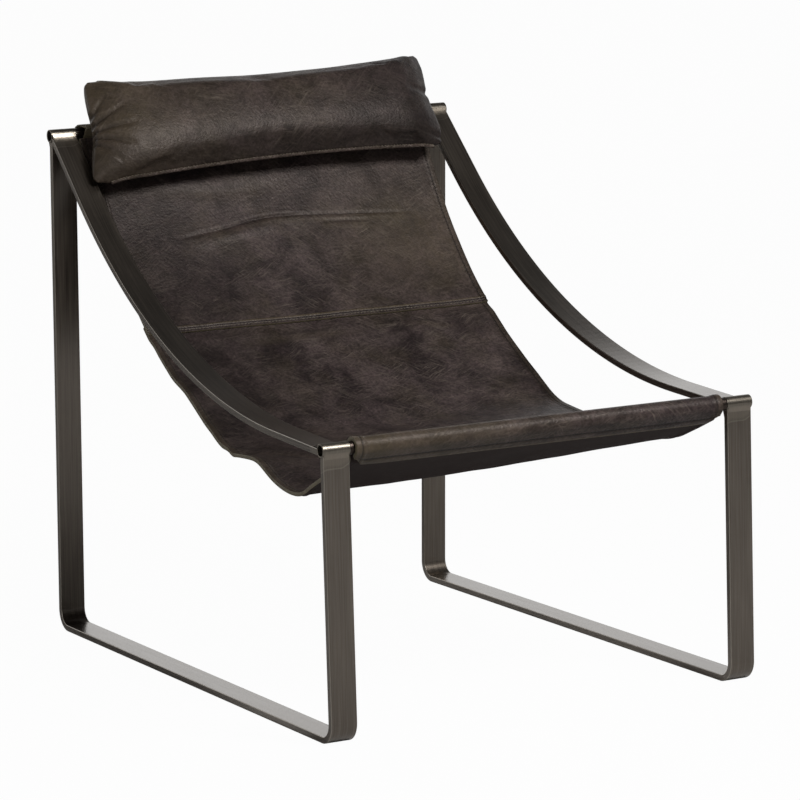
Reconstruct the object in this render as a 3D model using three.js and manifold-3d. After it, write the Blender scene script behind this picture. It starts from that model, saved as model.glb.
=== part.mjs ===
// A leather sling lounge chair: two side frames bent from flat steel bar, two cross rods bolted
// between them, a leather sling hung on the rods and a head pillow that swings on the rear rod.
// Millimetres, +Z up. X runs across the chair, the front faces -Y, and the origin is on the
// floor below the middle of the chair. Side profiles are drawn as (y, z) pairs.
import * as THREE from 'three';
import { mergeVertices } from 'three/addons/utils/BufferGeometryUtils.js';
import Module from 'manifold-3d';

const wasm = await Module();
wasm.setup();

// Clearance between pieces that touch on the real chair
const FIT = 0.3;

// Side frames, bent from one size of flat bar
const FRAME_WIDTH = 655; // over the outer faces of the bars
const BASE_DEPTH = 875; // along the floor, over both legs
const BAR_WIDTH = 38;
const BAR_THICK = 9;
const BAR_EDGE = 1.2; // rounding of the bar's long edges
const BEND_RADIUS = 20; // inside the runner's bends
const FRONT_LEG_LEAN = 2; // the top stands this far in from the foot
const REAR_LEG_LEAN = 35;

// Rod axes
const FRONT_ROD_HEIGHT = 388;
const REAR_ROD_HEIGHT = 736;
const FRONT_ROD_SETBACK = 7; // behind the front face of the front leg
const REAR_ROD_SETBACK = 3; // ahead of the rear face of the rear leg

// Arm bars: two straight runs joined by one long bend
const ARM_REAR_SLOPE = THREE.MathUtils.degToRad(43);
const ARM_FRONT_SLOPE = THREE.MathUtils.degToRad(3);
const ARM_BEND_RADIUS = 950;
const ARM_DROP = 3; // the bar meets the front barrel this far below its axis

// Socket-head bolts, one through each barrel into the rod
const BOLT_DIAMETER = 8;
const BOLT_LENGTH = 32;
const BOLT_HEAD_HEIGHT = 8;
const HEAD_SHOULDER = 2.5; // head radius less shank radius
const SOCKET_WALL = 3.5; // head radius less half of the hexagon's width across corners
const SOCKET_DEPTH = 4;
const WASHER_THICK = 1.6;

// Barrels: short counterbored tubes welded to the bar ends
const HEAD_CLEARANCE = 0.7; // around the bolt head, in the bore
const BARREL_WALL = 2.3;
const BARREL_END_WALL = 10; // the floor of the bore, which the bolt clamps to the rod
const BARREL_OVERHANG = 1; // past each side of the bar
const BARREL_CHAMFER = 0.8;

// Cross rods: tubes with a threaded plug in each end
const ROD_WALL = 2.5;
const PLUG_WALL = 1.9;
const PLUG_LENGTH = 30;

// Leather sling
const LEATHER_THICK = 3.5;
const SLING_CLEARANCE = 11.5; // sling edge to the inner face of the bars
const POCKET_EASE = 0.6; // slack between a rod and its pocket
const HEM_WIDTH = 14; // the part of a pocket's hem that lies flat on the panel
const REAR_SEAM_REACH = 34; // from the rear rod to where its pocket is sewn shut, along the panel
const FRONT_SEAM = new THREE.Vector2(23.5, -22); // where the front pocket is sewn shut, from its rod
const FRONT_SEAM_RADIUS = 25; // the seat's bend there
const BACK_KNEE = new THREE.Vector2(-105, -222); // where the back turns to the seat, from the rear rod
const SEAT_FRONT = new THREE.Vector2(154, -80); // lowest corner of the seat, from the front rod
const SEAT_REAR = new THREE.Vector2(269, 32); // rear corner of the seat, from its lowest corner
const BACK_KNEE_RADIUS = 660;
const SEAT_REAR_RADIUS = 140;
const SEAT_FRONT_RADIUS = 60;
const SEAM_DISTANCE = 345; // along the leather from the rear rod to the cross seam
const SEAM_LAP = 18; // the seat panel runs on behind the back panel
const SEAM_BLEND = 26; // length over which the lapped panel comes forward again
const DISH_DEPTH = 6; // the sling's middle hangs back from its edges
const DISH_CENTRE = new THREE.Vector2(-530, 64); // the dish deepens away from here, from the rear rod
const BELLY_TILT = 13; // the belly hangs lower on the left than on the right, by this each way
const BELLY_CURL = 7; // both of its edges stand this much above its middle
const BELLY_START = 84; // behind the front rod
const BELLY_LENGTH = 200;
const DROOP_DEPTH = 10; // slack in the seat's left edge hangs down in one loop
const DROOP_START = 128; // behind the front rod
const DROOP_LENGTH = 160;
const DROOP_WIDTH = 110; // how far in from the edge it dies out
const POCKET_STRAIGHT = 60; // no dish this close to a rod

// Head pillow
const PILLOW_CLEARANCE = 4.5; // pillow end to the inner face of the barrels
const PILLOW_HEIGHT = 158;
const PILLOW_THICK = 52;
const PILLOW_DROP = 9; // the pillow's middle below the rod
const PILLOW_GAP = 1.4; // between the rod's pocket and the pillow
const PILLOW_KICK = THREE.MathUtils.degToRad(8.8); // the pillow's lower edge stands off the back
const WEDGE_EASE = 0.045; // slope left open between the pillow's heel and the back
const PILLOW_CROWN = 5;
const END_DRAW = 6; // the ends pull in between their corners
const EDGE_DRAW = 6; // so do the upper and lower edges
const CORNER_DRAW = 10; // the corners are rounded off by this much each way
const EDGE_SWELL = 5; // rounding of the narrow faces
const COVER_THICK = 2.5;
const WELT_DIAMETER = 5;
const WELT_END = 0.9; // share of the half width at which the welt turns under
const STRAP_WIDTH = 18;
const STRAP_THICK = 2.5;
const STRAP_INSET = 4; // pillow end to the strap
const STRAP_ROOT = 8; // how far the strap's tails run into the pillow
const NOTCH_GAP = 4; // strap to the cut-out corner of the sling
const NOTCH_RADIUS = 24;

// Smoothness
const ROUND_STEPS = 24;
const BEND_STEPS = 10;
const ARM_STEPS = 22;
const WRAP_STEPS = 12;
const SAG_STEPS = 8;
const LEATHER_STEP = 45; // longest straight step along the hanging leather
const SLING_COLUMNS = 8;
const STEP_LENGTHS = 6;

// Sizes that follow from those above
const SHANK_HOLE = BOLT_DIAMETER + 2 * FIT;
const HEAD_DIAMETER = BOLT_DIAMETER + 2 * HEAD_SHOULDER;
const BARREL_BORE = HEAD_DIAMETER + 2 * HEAD_CLEARANCE;
const BARREL_DIAMETER = BARREL_BORE + 2 * BARREL_WALL;
const BARREL_LENGTH = BAR_WIDTH + 2 * BARREL_OVERHANG;
const PLUG_DIAMETER = SHANK_HOLE + 2 * PLUG_WALL;
const ROD_BORE = PLUG_DIAMETER + 2 * FIT;
const ROD_DIAMETER = ROD_BORE + 2 * ROD_WALL;
const INSIDE_WIDTH = FRAME_WIDTH - 2 * BAR_WIDTH;
const ROD_LENGTH = INSIDE_WIDTH - 2 * BARREL_OVERHANG - 2 * FIT;
const SLING_WIDTH = INSIDE_WIDTH - 2 * SLING_CLEARANCE;
const PILLOW_WIDTH = INSIDE_WIDTH - 2 * BARREL_OVERHANG - 2 * PILLOW_CLEARANCE;
const POCKET_RADIUS = ROD_DIAMETER / 2 + POCKET_EASE + LEATHER_THICK / 2; // to the leather's middle
const STRAP_X = PILLOW_WIDTH / 2 - STRAP_INSET - STRAP_WIDTH / 2;
const FRONT_ROD = new THREE.Vector2(-BASE_DEPTH / 2 + FRONT_LEG_LEAN + FRONT_ROD_SETBACK, FRONT_ROD_HEIGHT);
const REAR_ROD = new THREE.Vector2(BASE_DEPTH / 2 - REAR_LEG_LEAN - REAR_ROD_SETBACK, REAR_ROD_HEIGHT);

// Finishes
const gunmetal = new THREE.MeshStandardMaterial({ color: 0x4a4640, roughness: 0.34, metalness: 1 });
const groundSteel = new THREE.MeshStandardMaterial({ color: 0x8d8980, roughness: 0.26, metalness: 1 });
const zincSteel = new THREE.MeshStandardMaterial({ color: 0x9a9a98, roughness: 0.4, metalness: 1 });
const brownLeather = new THREE.MeshStandardMaterial({ color: 0x362f2b, roughness: 0.55, metalness: 0 });
const cottonFill = new THREE.MeshStandardMaterial({ color: 0xd9d4c8, roughness: 0.95, metalness: 0 });

// A turned piece is drawn about Y and laid along X
const alongX = (geometry) => geometry.rotateZ(-Math.PI / 2);

// A side profile is drawn in X and Y and extruded in Z, then set up as Y, Z and X
const ACROSS = new THREE.Matrix4().makeBasis(
  new THREE.Vector3(0, 1, 0),
  new THREE.Vector3(0, 0, 1),
  new THREE.Vector3(1, 0, 0),
);

// Solids for cutting and joining

function toSolid(geometry) {
  const bare = geometry.clone();
  bare.deleteAttribute('normal');
  bare.deleteAttribute('uv');
  const merged = mergeVertices(bare, 1e-4);
  const mesh = new wasm.Mesh({
    numProp: 3,
    vertProperties: new Float32Array(merged.attributes.position.array),
    triVerts: new Uint32Array(merged.index.array),
  });
  return new wasm.Manifold(mesh);
}

function toGeometry(solid) {
  const mesh = solid.getMesh();
  const geometry = new THREE.BufferGeometry();
  geometry.setAttribute('position', new THREE.BufferAttribute(new Float32Array(mesh.vertProperties), 3));
  geometry.setIndex(new THREE.BufferAttribute(new Uint32Array(mesh.triVerts), 1));
  geometry.computeVertexNormals();
  return geometry;
}

function cut(geometry, ...tools) {
  return toGeometry(tools.reduce((solid, tool) => solid.subtract(toSolid(tool)), toSolid(geometry)));
}

// Profiles

const bearing = (from, to) => to.clone().sub(from).angle();

// How far each inner corner's rounding reaches along its runs. Where two corners need more than
// the run between them has, they share it in proportion.
function cornerReaches(corners, halfAngles, radii) {
  const needs = radii.map((radius, i) => radius / Math.tan(halfAngles[i]));
  const share = (i) => {
    const need = (needs[i - 1] ?? 0) + (needs[i] ?? 0);
    return Math.min(1, corners[i].distanceTo(corners[i + 1]) / need);
  };
  return needs.map((need, i) => need * Math.min(share(i), share(i + 1)));
}

// A centre line of straight runs whose inner corners are rounded to the radii given
function roundedPath(corners, radii) {
  const toBack = radii.map((_, i) => corners[i].clone().sub(corners[i + 1]).normalize());
  const toAhead = radii.map((_, i) => corners[i + 2].clone().sub(corners[i + 1]).normalize());
  const halves = radii.map((_, i) => Math.acos(THREE.MathUtils.clamp(toBack[i].dot(toAhead[i]), -1, 1)) / 2);
  const reaches = cornerReaches(corners, halves, radii);
  const path = new THREE.Path();
  path.moveTo(corners[0].x, corners[0].y);
  reaches.forEach((reach, i) => {
    const corner = corners[i + 1];
    const radius = reach * Math.tan(halves[i]);
    const middle = toBack[i].clone().add(toAhead[i]).setLength(radius / Math.sin(halves[i])).add(corner);
    const start = corner.clone().addScaledVector(toBack[i], reach);
    const end = corner.clone().addScaledVector(toAhead[i], reach);
    path.lineTo(start.x, start.y);
    const clockwise = toBack[i].cross(toAhead[i]) > 0;
    path.absarc(middle.x, middle.y, radius, bearing(middle, start), bearing(middle, end), clockwise);
  });
  path.lineTo(corners.at(-1).x, corners.at(-1).y);
  return path;
}

// Points along a path, with each arc split into at least arcSteps and no step over the longest
function pathPoints(path, arcSteps, longest = Infinity) {
  const points = [path.getPoint(0)];
  for (const curve of path.curves) {
    const least = curve.isLineCurve ? 1 : arcSteps;
    const steps = Math.max(least, Math.ceil(curve.getLength() / longest));
    for (let k = 1; k <= steps; k++) {
      const point = curve.getPoint(k / steps);
      if (point.distanceTo(points.at(-1)) > 0.01) points.push(point);
    }
  }
  return points;
}

// Unit normals, on the left of the way the points run, lengthened at corners to keep a strip even
function pointNormals(points) {
  const leftOf = (from, to) => new THREE.Vector2(from.y - to.y, to.x - from.x).normalize();
  return points.map((point, i) => {
    const into = i > 0 ? leftOf(points[i - 1], point) : leftOf(point, points[i + 1]);
    const out = i < points.length - 1 ? leftOf(point, points[i + 1]) : into;
    const normal = into.clone().add(out).normalize();
    return normal.multiplyScalar(1 / normal.dot(into));
  });
}

// The closed outline of a strip of even thickness along a line of points
function stripShape(points, thick) {
  const normals = pointNormals(points);
  const side = (reach) => points.map((point, i) => point.clone().addScaledVector(normals[i], reach));
  return new THREE.Shape([...side(thick / 2), ...side(-thick / 2).reverse()]);
}

function extrudeAcross(shape, width, steps = 1) {
  const geometry = new THREE.ExtrudeGeometry(shape, { depth: width, steps, bevelEnabled: false });
  return geometry.translate(0, 0, -width / 2).applyMatrix4(ACROSS);
}

// A bar bent on the flat, with its long edges rounded
function bentBar(path, arcSteps) {
  const shape = stripShape(pathPoints(path, arcSteps), BAR_THICK);
  const geometry = new THREE.ExtrudeGeometry(shape, {
    depth: BAR_WIDTH - 2 * BAR_EDGE,
    bevelThickness: BAR_EDGE,
    bevelSize: BAR_EDGE,
    bevelOffset: -BAR_EDGE,
    bevelSegments: 2,
  });
  return geometry.translate(0, 0, BAR_EDGE - BAR_WIDTH / 2).applyMatrix4(ACROSS);
}

// A turned ring from a closed profile of [radius, along] pairs, running up its outer side
function turned(profile, steps = ROUND_STEPS) {
  const points = [...profile, profile[0]].map(([radius, along]) => new THREE.Vector2(radius, along));
  return alongX(new THREE.LatheGeometry(points, steps));
}

// A plain cylinder across the chair, used as a cutting tool
function crossCylinder(radius, length, x, centre) {
  const geometry = alongX(new THREE.CylinderGeometry(radius, radius, length, ROUND_STEPS));
  return geometry.translate(x, centre.x, centre.y);
}

// Steel frame

// The base loop: front leg, floor runner and rear leg in one bend, up to both rod axes
function baseLoopPath() {
  const half = BASE_DEPTH / 2 - BAR_THICK / 2;
  const middle = BAR_THICK / 2;
  const frontFoot = -half + (FRONT_LEG_LEAN * middle) / FRONT_ROD_HEIGHT;
  const rearFoot = half - (REAR_LEG_LEAN * middle) / REAR_ROD_HEIGHT;
  const corners = [
    new THREE.Vector2(-half + FRONT_LEG_LEAN, FRONT_ROD_HEIGHT),
    new THREE.Vector2(frontFoot, middle),
    new THREE.Vector2(rearFoot, middle),
    new THREE.Vector2(half - REAR_LEG_LEAN, REAR_ROD_HEIGHT),
  ];
  const radius = BEND_RADIUS + BAR_THICK / 2;
  return roundedPath(corners, [radius, radius]);
}

// The arm: a steep run down from the rear barrel, a long bend and a flat run to the front barrel
function armPath() {
  const frontEnd = new THREE.Vector2(FRONT_ROD.x, FRONT_ROD.y - ARM_DROP);
  const rise = REAR_ROD.y - frontEnd.y - Math.tan(ARM_FRONT_SLOPE) * (REAR_ROD.x - frontEnd.x);
  const run = rise / (Math.tan(ARM_REAR_SLOPE) - Math.tan(ARM_FRONT_SLOPE));
  const elbow = new THREE.Vector2(REAR_ROD.x - run, REAR_ROD.y - run * Math.tan(ARM_REAR_SLOPE));
  return roundedPath([REAR_ROD, elbow, frontEnd], [ARM_BEND_RADIUS]);
}

const barrelSeat = (rod) => crossCylinder(BARREL_DIAMETER / 2 + FIT, 2 * BAR_WIDTH, 0, rod);

function baseLoop() {
  return cut(bentBar(baseLoopPath(), BEND_STEPS), barrelSeat(FRONT_ROD), barrelSeat(REAR_ROD));
}

// The arm's rear end is trimmed where it meets the rear leg under the barrel
function armBar() {
  const legRoom = stripShape(pathPoints(baseLoopPath(), BEND_STEPS), BAR_THICK + 2 * FIT);
  const bar = bentBar(armPath(), ARM_STEPS);
  return cut(bar, barrelSeat(REAR_ROD), barrelSeat(FRONT_ROD), extrudeAcross(legRoom, 2 * BAR_WIDTH));
}

// Outer end at +X, with the bolt's bore open there
function barrel() {
  const end = BARREL_LENGTH / 2;
  const outer = BARREL_DIAMETER / 2;
  const floor = BARREL_END_WALL - end;
  return turned([
    [SHANK_HOLE / 2, -end],
    [outer - BARREL_CHAMFER, -end],
    [outer, BARREL_CHAMFER - end],
    [outer, end - BARREL_CHAMFER],
    [outer - BARREL_CHAMFER, end],
    [BARREL_BORE / 2, end],
    [BARREL_BORE / 2, floor],
    [SHANK_HOLE / 2, floor],
  ]);
}

// Seated on the floor of the barrel's bore
const WASHER_X = BARREL_END_WALL - BARREL_LENGTH / 2 + FIT;
const HEAD_X = WASHER_X + WASHER_THICK + FIT;

function washer() {
  const outer = BARREL_BORE / 2 - FIT;
  return turned([
    [SHANK_HOLE / 2, WASHER_X],
    [outer, WASHER_X],
    [outer, WASHER_X + WASHER_THICK],
    [SHANK_HOLE / 2, WASHER_X + WASHER_THICK],
  ]);
}

function bolt() {
  const shank = BOLT_DIAMETER / 2;
  const head = HEAD_DIAMETER / 2;
  const top = HEAD_X + BOLT_HEAD_HEIGHT;
  const profile = [
    [0, HEAD_X - BOLT_LENGTH],
    [shank - BARREL_CHAMFER, HEAD_X - BOLT_LENGTH],
    [shank, HEAD_X - BOLT_LENGTH + BARREL_CHAMFER],
    [shank, HEAD_X],
    [head, HEAD_X],
    [head, top - BARREL_CHAMFER],
    [head - BARREL_CHAMFER, top],
    [0, top],
  ];
  const points = profile.map(([radius, along]) => new THREE.Vector2(radius, along));
  const body = alongX(new THREE.LatheGeometry(points, ROUND_STEPS));
  const hexagon = new THREE.CylinderGeometry(head - SOCKET_WALL, head - SOCKET_WALL, 2 * SOCKET_DEPTH, 6);
  return cut(body, alongX(hexagon).translate(top, 0, 0));
}

function tube(outer, inner, length) {
  return turned([
    [inner / 2, -length / 2],
    [outer / 2, -length / 2],
    [outer / 2, length / 2],
    [inner / 2, length / 2],
  ]);
}

// Leather sling

// Where a line from a point touches a circle, on the side given as 1 or -1
function tangentPoint(centre, radius, from, side) {
  const spread = Math.acos(radius / from.distanceTo(centre));
  const angle = bearing(centre, from) + side * spread;
  return new THREE.Vector2(Math.cos(angle), Math.sin(angle)).multiplyScalar(radius).add(centre);
}

// A pocket: the panel leaves a rod on one side for the seam. The hem wraps round the rod from there,
// comes to the seam too and lies flat on the panel beyond it, on the way to the next corner.
function pocket(rod, seam, next, side) {
  const panel = tangentPoint(rod, POCKET_RADIUS, seam, side);
  const along = next.clone().sub(seam).normalize();
  const inward = new THREE.Vector2(along.y, -along.x).multiplyScalar(side * (LEATHER_THICK + FIT));
  const hemFold = seam.clone().add(inward);
  const hemEdge = hemFold.clone().addScaledVector(along, HEM_WIDTH);
  const hemTouch = tangentPoint(rod, POCKET_RADIUS, hemFold, -side);
  return { panel, hemEdge, hemFold, hemTouch };
}

const KNEE = REAR_ROD.clone().add(BACK_KNEE);
const FRONT_CORNER = FRONT_ROD.clone().add(SEAT_FRONT);
const REAR_CORNER = FRONT_CORNER.clone().add(SEAT_REAR);
const BACK_TOP = tangentPoint(REAR_ROD, POCKET_RADIUS, KNEE, -1);
const REAR_POCKET_SEAM = KNEE.clone().sub(BACK_TOP).setLength(REAR_SEAM_REACH).add(BACK_TOP);
const FRONT_POCKET_SEAM = FRONT_ROD.clone().add(FRONT_SEAM);
const REAR_POCKET = pocket(REAR_ROD, REAR_POCKET_SEAM, KNEE, -1);
const FRONT_POCKET = pocket(FRONT_ROD, FRONT_POCKET_SEAM, FRONT_CORNER, 1);

// The hanging part of the sling's middle line, from the rear rod to the front rod
function hangingPoints() {
  const seat = [REAR_CORNER, FRONT_CORNER, FRONT_POCKET_SEAM];
  const corners = [REAR_POCKET.panel, KNEE, ...seat, FRONT_POCKET.panel];
  const radii = [BACK_KNEE_RADIUS, SEAT_REAR_RADIUS, SEAT_FRONT_RADIUS, FRONT_SEAM_RADIUS];
  return pathPoints(roundedPath(corners, radii), SAG_STEPS, LEATHER_STEP);
}

// The hem and wrap of the rear pocket, which lead into the back panel
function rearPocketPoints() {
  const { hemEdge, hemFold, hemTouch, panel } = REAR_POCKET;
  const path = new THREE.Path();
  path.moveTo(hemEdge.x, hemEdge.y);
  path.lineTo(hemFold.x, hemFold.y);
  path.lineTo(hemTouch.x, hemTouch.y);
  const start = bearing(REAR_ROD, hemTouch);
  path.absarc(REAR_ROD.x, REAR_ROD.y, POCKET_RADIUS, start, bearing(REAR_ROD, panel), false);
  return pathPoints(path, WRAP_STEPS);
}

// The wrap and hem of the front pocket, which follow the seat panel
function frontPocketPoints() {
  const { hemEdge, hemFold, hemTouch, panel } = FRONT_POCKET;
  const path = new THREE.Path();
  path.moveTo(panel.x, panel.y);
  const end = bearing(FRONT_ROD, hemTouch);
  path.absarc(FRONT_ROD.x, FRONT_ROD.y, POCKET_RADIUS, bearing(FRONT_ROD, panel), end, false);
  path.lineTo(hemFold.x, hemFold.y);
  path.lineTo(hemEdge.x, hemEdge.y);
  return pathPoints(path, WRAP_STEPS);
}

// The points of a line between two distances along it, with both ends cut exactly there
function lengthOf(points, from, to) {
  const kept = [];
  let walked = 0;
  points.slice(1).forEach((point, i) => {
    const step = point.distanceTo(points[i]);
    const at = (distance) => points[i].clone().lerp(point, (distance - walked) / step);
    if (from >= walked && from < walked + step) kept.push(at(from));
    if (to > walked && to <= walked + step) kept.push(at(to));
    else if (walked + step > from && walked + step < to) kept.push(point);
    walked += step;
  });
  return kept;
}

function lineLength(points) {
  return points.slice(1).reduce((sum, point, i) => sum + point.distanceTo(points[i]), 0);
}

// The upper end of the seat panel steps back behind the back panel and comes forward below the seam
function steppedBehind(points) {
  const normals = pointNormals(points);
  let walked = 0;
  return points.map((point, i) => {
    if (i > 0) walked += point.distanceTo(points[i - 1]);
    const share = 1 - THREE.MathUtils.smoothstep(walked, SEAM_LAP + FIT, SEAM_LAP + SEAM_BLEND);
    return point.clone().addScaledVector(normals[i], share * (LEATHER_THICK + FIT));
  });
}

// The seat panel's hanging part, with its step below the seam drawn in short lengths
function seatPoints() {
  const hanging = hangingPoints();
  const stops = [SEAM_DISTANCE - SEAM_LAP, SEAM_DISTANCE + FIT];
  for (let k = 1; k <= STEP_LENGTHS; k++) stops.push(SEAM_DISTANCE + (k / STEP_LENGTHS) * SEAM_BLEND);
  stops.push(lineLength(hanging));
  const lengths = stops.slice(1).map((stop, i) => lengthOf(hanging, stops[i], stop));
  return steppedBehind(lengths.flatMap((points, i) => (i > 0 ? points.slice(1) : points)));
}

// A swell that rises from 0 to 1 and falls again over a length
const swell = (along, length) => Math.sin(Math.PI * THREE.MathUtils.clamp(along / length, 0, 1)) ** 2;

// The left edge hangs down in one loop that dies out towards the middle
function edgeDroop(x, behind) {
  const across = THREE.MathUtils.smoothstep(-x - SLING_WIDTH / 2 + DROOP_WIDTH, 0, DROOP_WIDTH);
  return DROOP_DEPTH * across * swell(behind - DROOP_START, DROOP_LENGTH);
}

// Hang the flat-sided sling: its middle dishes back, its belly is lower on the left, and its
// left edge droops
function hang(geometry) {
  const position = geometry.attributes.position;
  const span = REAR_ROD.x - FRONT_ROD.x - 2 * POCKET_STRAIGHT;
  const away = new THREE.Vector2();
  for (let i = 0; i < position.count; i++) {
    const x = position.getX(i) / (SLING_WIDTH / 2);
    const behind = position.getY(i) - FRONT_ROD.x;
    const dish = DISH_DEPTH * (1 - x * x) * swell(behind - POCKET_STRAIGHT, span);
    const belly = (BELLY_TILT * x + BELLY_CURL * x * x) * swell(behind - BELLY_START, BELLY_LENGTH);
    away.set(position.getY(i), position.getZ(i)).sub(REAR_ROD).sub(DISH_CENTRE).setLength(dish);
    position.setY(i, position.getY(i) + away.x);
    position.setZ(i, position.getZ(i) + away.y + belly - edgeDroop(position.getX(i), behind));
  }
  return geometry;
}

function slingPanel(points) {
  return hang(extrudeAcross(stripShape(points, LEATHER_THICK), SLING_WIDTH, SLING_COLUMNS));
}

// The back panel, with its upper corners cut out round the pillow's straps
function backPanel() {
  const upper = lengthOf(hangingPoints(), 0, SEAM_DISTANCE);
  const panel = slingPanel([...rearPocketPoints(), ...upper.slice(1)]);
  const notchStart = STRAP_X - STRAP_WIDTH / 2 - NOTCH_GAP;
  const notches = [-1, 1].map((side) => {
    const x = side * (notchStart + SLING_WIDTH / 2);
    return crossCylinder(NOTCH_RADIUS, SLING_WIDTH, x, REAR_ROD);
  });
  return cut(panel, ...notches);
}

const seatPanel = () => slingPanel([...seatPoints(), ...frontPocketPoints().slice(1)]);

// Head pillow, drawn about the rear rod with +Z up its own height and -Y out of its face

const SLING_LEAN = bearing(KNEE, REAR_POCKET.panel);
const PILLOW_TILT = Math.PI / 2 - SLING_LEAN + PILLOW_KICK;
const PILLOW_BACK = -(POCKET_RADIUS + LEATHER_THICK / 2 + PILLOW_GAP);

// A point of the pillow from its place in a cube of half size 1, drawn in by a margin all round
function pillowPoint(a, b, c, margin) {
  const fullness = (1 - 0.5 * a ** 6) * (1 - 0.5 * c ** 4);
  const crown = PILLOW_CROWN * (1 - a * a) * (1 - c * c);
  const endDraw = END_DRAW * (1 - c * c) + CORNER_DRAW * c ** 6;
  const edgeDraw = EDGE_DRAW * (1 - a * a) + CORNER_DRAW * a ** 20;
  const halfWidth = PILLOW_WIDTH / 2 - margin - endDraw - EDGE_SWELL * b * b;
  const halfHeight = PILLOW_HEIGHT / 2 - margin - edgeDraw - EDGE_SWELL * b * b;
  const halfThick = (PILLOW_THICK / 2 - margin) * fullness;
  const z = c * halfHeight - PILLOW_DROP;
  const heel = Math.max(0, -z - NOTCH_RADIUS) * (Math.tan(PILLOW_KICK) - WEDGE_EASE);
  const y = PILLOW_BACK - PILLOW_THICK / 2 + b * halfThick - (b < 0 ? -b * crown : -b * heel);
  return new THREE.Vector3(a * halfWidth, y, z);
}

function pillowForm(margin) {
  const geometry = new THREE.BoxGeometry(2, 2, 2, 20, 4, 8);
  const position = geometry.attributes.position;
  for (let i = 0; i < position.count; i++) {
    const point = pillowPoint(position.getX(i), position.getY(i), position.getZ(i), margin);
    position.setXYZ(i, point.x, point.y, point.z);
  }
  return geometry;
}

// A strap passes round the rod, and its two tails run side by side into the pillow
function strapPoints() {
  const radius = ROD_DIAMETER / 2 + FIT + STRAP_THICK / 2;
  const centre = new THREE.Vector2(0, 0);
  const spread = (STRAP_THICK + FIT) / 2;
  const tailEnd = pillowPoint(STRAP_X / (PILLOW_WIDTH / 2), 1, 0, 0).y - STRAP_ROOT;
  const fold = new THREE.Vector2(-1.4 * radius, spread);
  const touch = tangentPoint(centre, radius, fold, -1);
  const path = new THREE.Path();
  path.moveTo(tailEnd, spread);
  path.lineTo(fold.x, fold.y);
  path.lineTo(touch.x, touch.y);
  path.absarc(0, 0, radius, touch.angle(), -touch.angle(), true);
  path.lineTo(fold.x, -fold.y);
  path.lineTo(tailEnd, -spread);
  return pathPoints(path, WRAP_STEPS);
}

const strap = () => extrudeAcross(stripShape(strapPoints(), STRAP_THICK), STRAP_WIDTH);

// Slits in the pillow's back for the strap tails
function strapSlits() {
  const depth = STRAP_ROOT + PILLOW_THICK / 2;
  const slit = new THREE.BoxGeometry(STRAP_WIDTH + 2 * FIT, depth, 2 * STRAP_THICK + 3 * FIT);
  const tailEnd = strapPoints()[0].x - FIT;
  return [-1, 1].map((side) => slit.clone().translate(side * STRAP_X, tailEnd + depth / 2, 0));
}

const pillowCover = () => cut(pillowForm(0), pillowForm(COVER_THICK), ...strapSlits());
const pillowFilling = () => cut(pillowForm(COVER_THICK + FIT), ...strapSlits());

// The corded seam along the pillow's lower edge
function pillowWelt() {
  const drop = new THREE.Vector3(0, 0, WELT_DIAMETER / 2 + 2 * FIT);
  const points = [];
  for (let k = -6; k <= 6; k++) points.push(pillowPoint((k / 6) * WELT_END, 0, -1, 0).sub(drop));
  const section = new THREE.Shape().absarc(0, 0, WELT_DIAMETER / 2, 0, 2 * Math.PI);
  return new THREE.ExtrudeGeometry(section, {
    steps: 24,
    curveSegments: 5,
    extrudePath: new THREE.CatmullRomCurve3(points),
  });
}

// Assembly

function named(name, geometry, material) {
  const mesh = new THREE.Mesh(geometry, material.clone());
  mesh.name = name;
  return mesh;
}

// One end of one rod: barrel, washer and bolt, with the bore facing outwards
function rodJoint(name, rod, outward) {
  const joint = new THREE.Group();
  joint.position.set(0, rod.x, rod.y);
  joint.rotation.z = outward > 0 ? 0 : Math.PI;
  joint.add(named(`${name}_barrel`, barrel(), groundSteel));
  joint.add(named(`${name}_washer`, washer(), zincSteel));
  joint.add(named(`${name}_bolt`, bolt(), zincSteel));
  return joint;
}

function sideFrame(name, outward) {
  const frame = new THREE.Group();
  frame.position.x = (outward * (FRAME_WIDTH - BAR_WIDTH)) / 2;
  frame.add(named(`${name}_base_loop`, baseLoop(), gunmetal));
  frame.add(named(`${name}_arm_bar`, armBar(), gunmetal));
  frame.add(rodJoint(`${name}_front`, FRONT_ROD, outward));
  frame.add(rodJoint(`${name}_rear`, REAR_ROD, outward));
  return frame;
}

function crossRod(name, rod) {
  const group = new THREE.Group();
  group.position.set(0, rod.x, rod.y);
  group.add(named(`${name}_rod`, tube(ROD_DIAMETER, ROD_BORE, ROD_LENGTH), gunmetal));
  for (const [side, outward] of [['left', -1], ['right', 1]]) {
    const plug = named(`${name}_rod_${side}_plug`, tube(PLUG_DIAMETER, SHANK_HOLE, PLUG_LENGTH), zincSteel);
    plug.position.x = (outward * (ROD_LENGTH - PLUG_LENGTH)) / 2;
    group.add(plug);
  }
  return group;
}

function sling() {
  const group = new THREE.Group();
  group.add(named('sling_back_panel', backPanel(), brownLeather));
  group.add(named('sling_seat_panel', seatPanel(), brownLeather));
  return group;
}

function headPillow() {
  const pillow = new THREE.Group();
  pillow.position.set(0, REAR_ROD.x, REAR_ROD.y);
  pillow.rotation.x = -PILLOW_TILT;
  pillow.add(named('pillow_cover', pillowCover(), brownLeather));
  pillow.add(named('pillow_filling', pillowFilling(), cottonFill));
  pillow.add(named('pillow_welt', pillowWelt(), brownLeather));
  for (const [side, outward] of [['left', -1], ['right', 1]]) {
    const loop = named(`pillow_${side}_strap`, strap(), brownLeather);
    loop.position.x = outward * STRAP_X;
    pillow.add(loop);
  }
  return pillow;
}

const chair = new THREE.Group();
chair.add(sideFrame('left', -1));
chair.add(sideFrame('right', 1));
chair.add(crossRod('front', FRONT_ROD));
chair.add(crossRod('rear', REAR_ROD));
chair.add(sling());
chair.add(headPillow());

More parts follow.
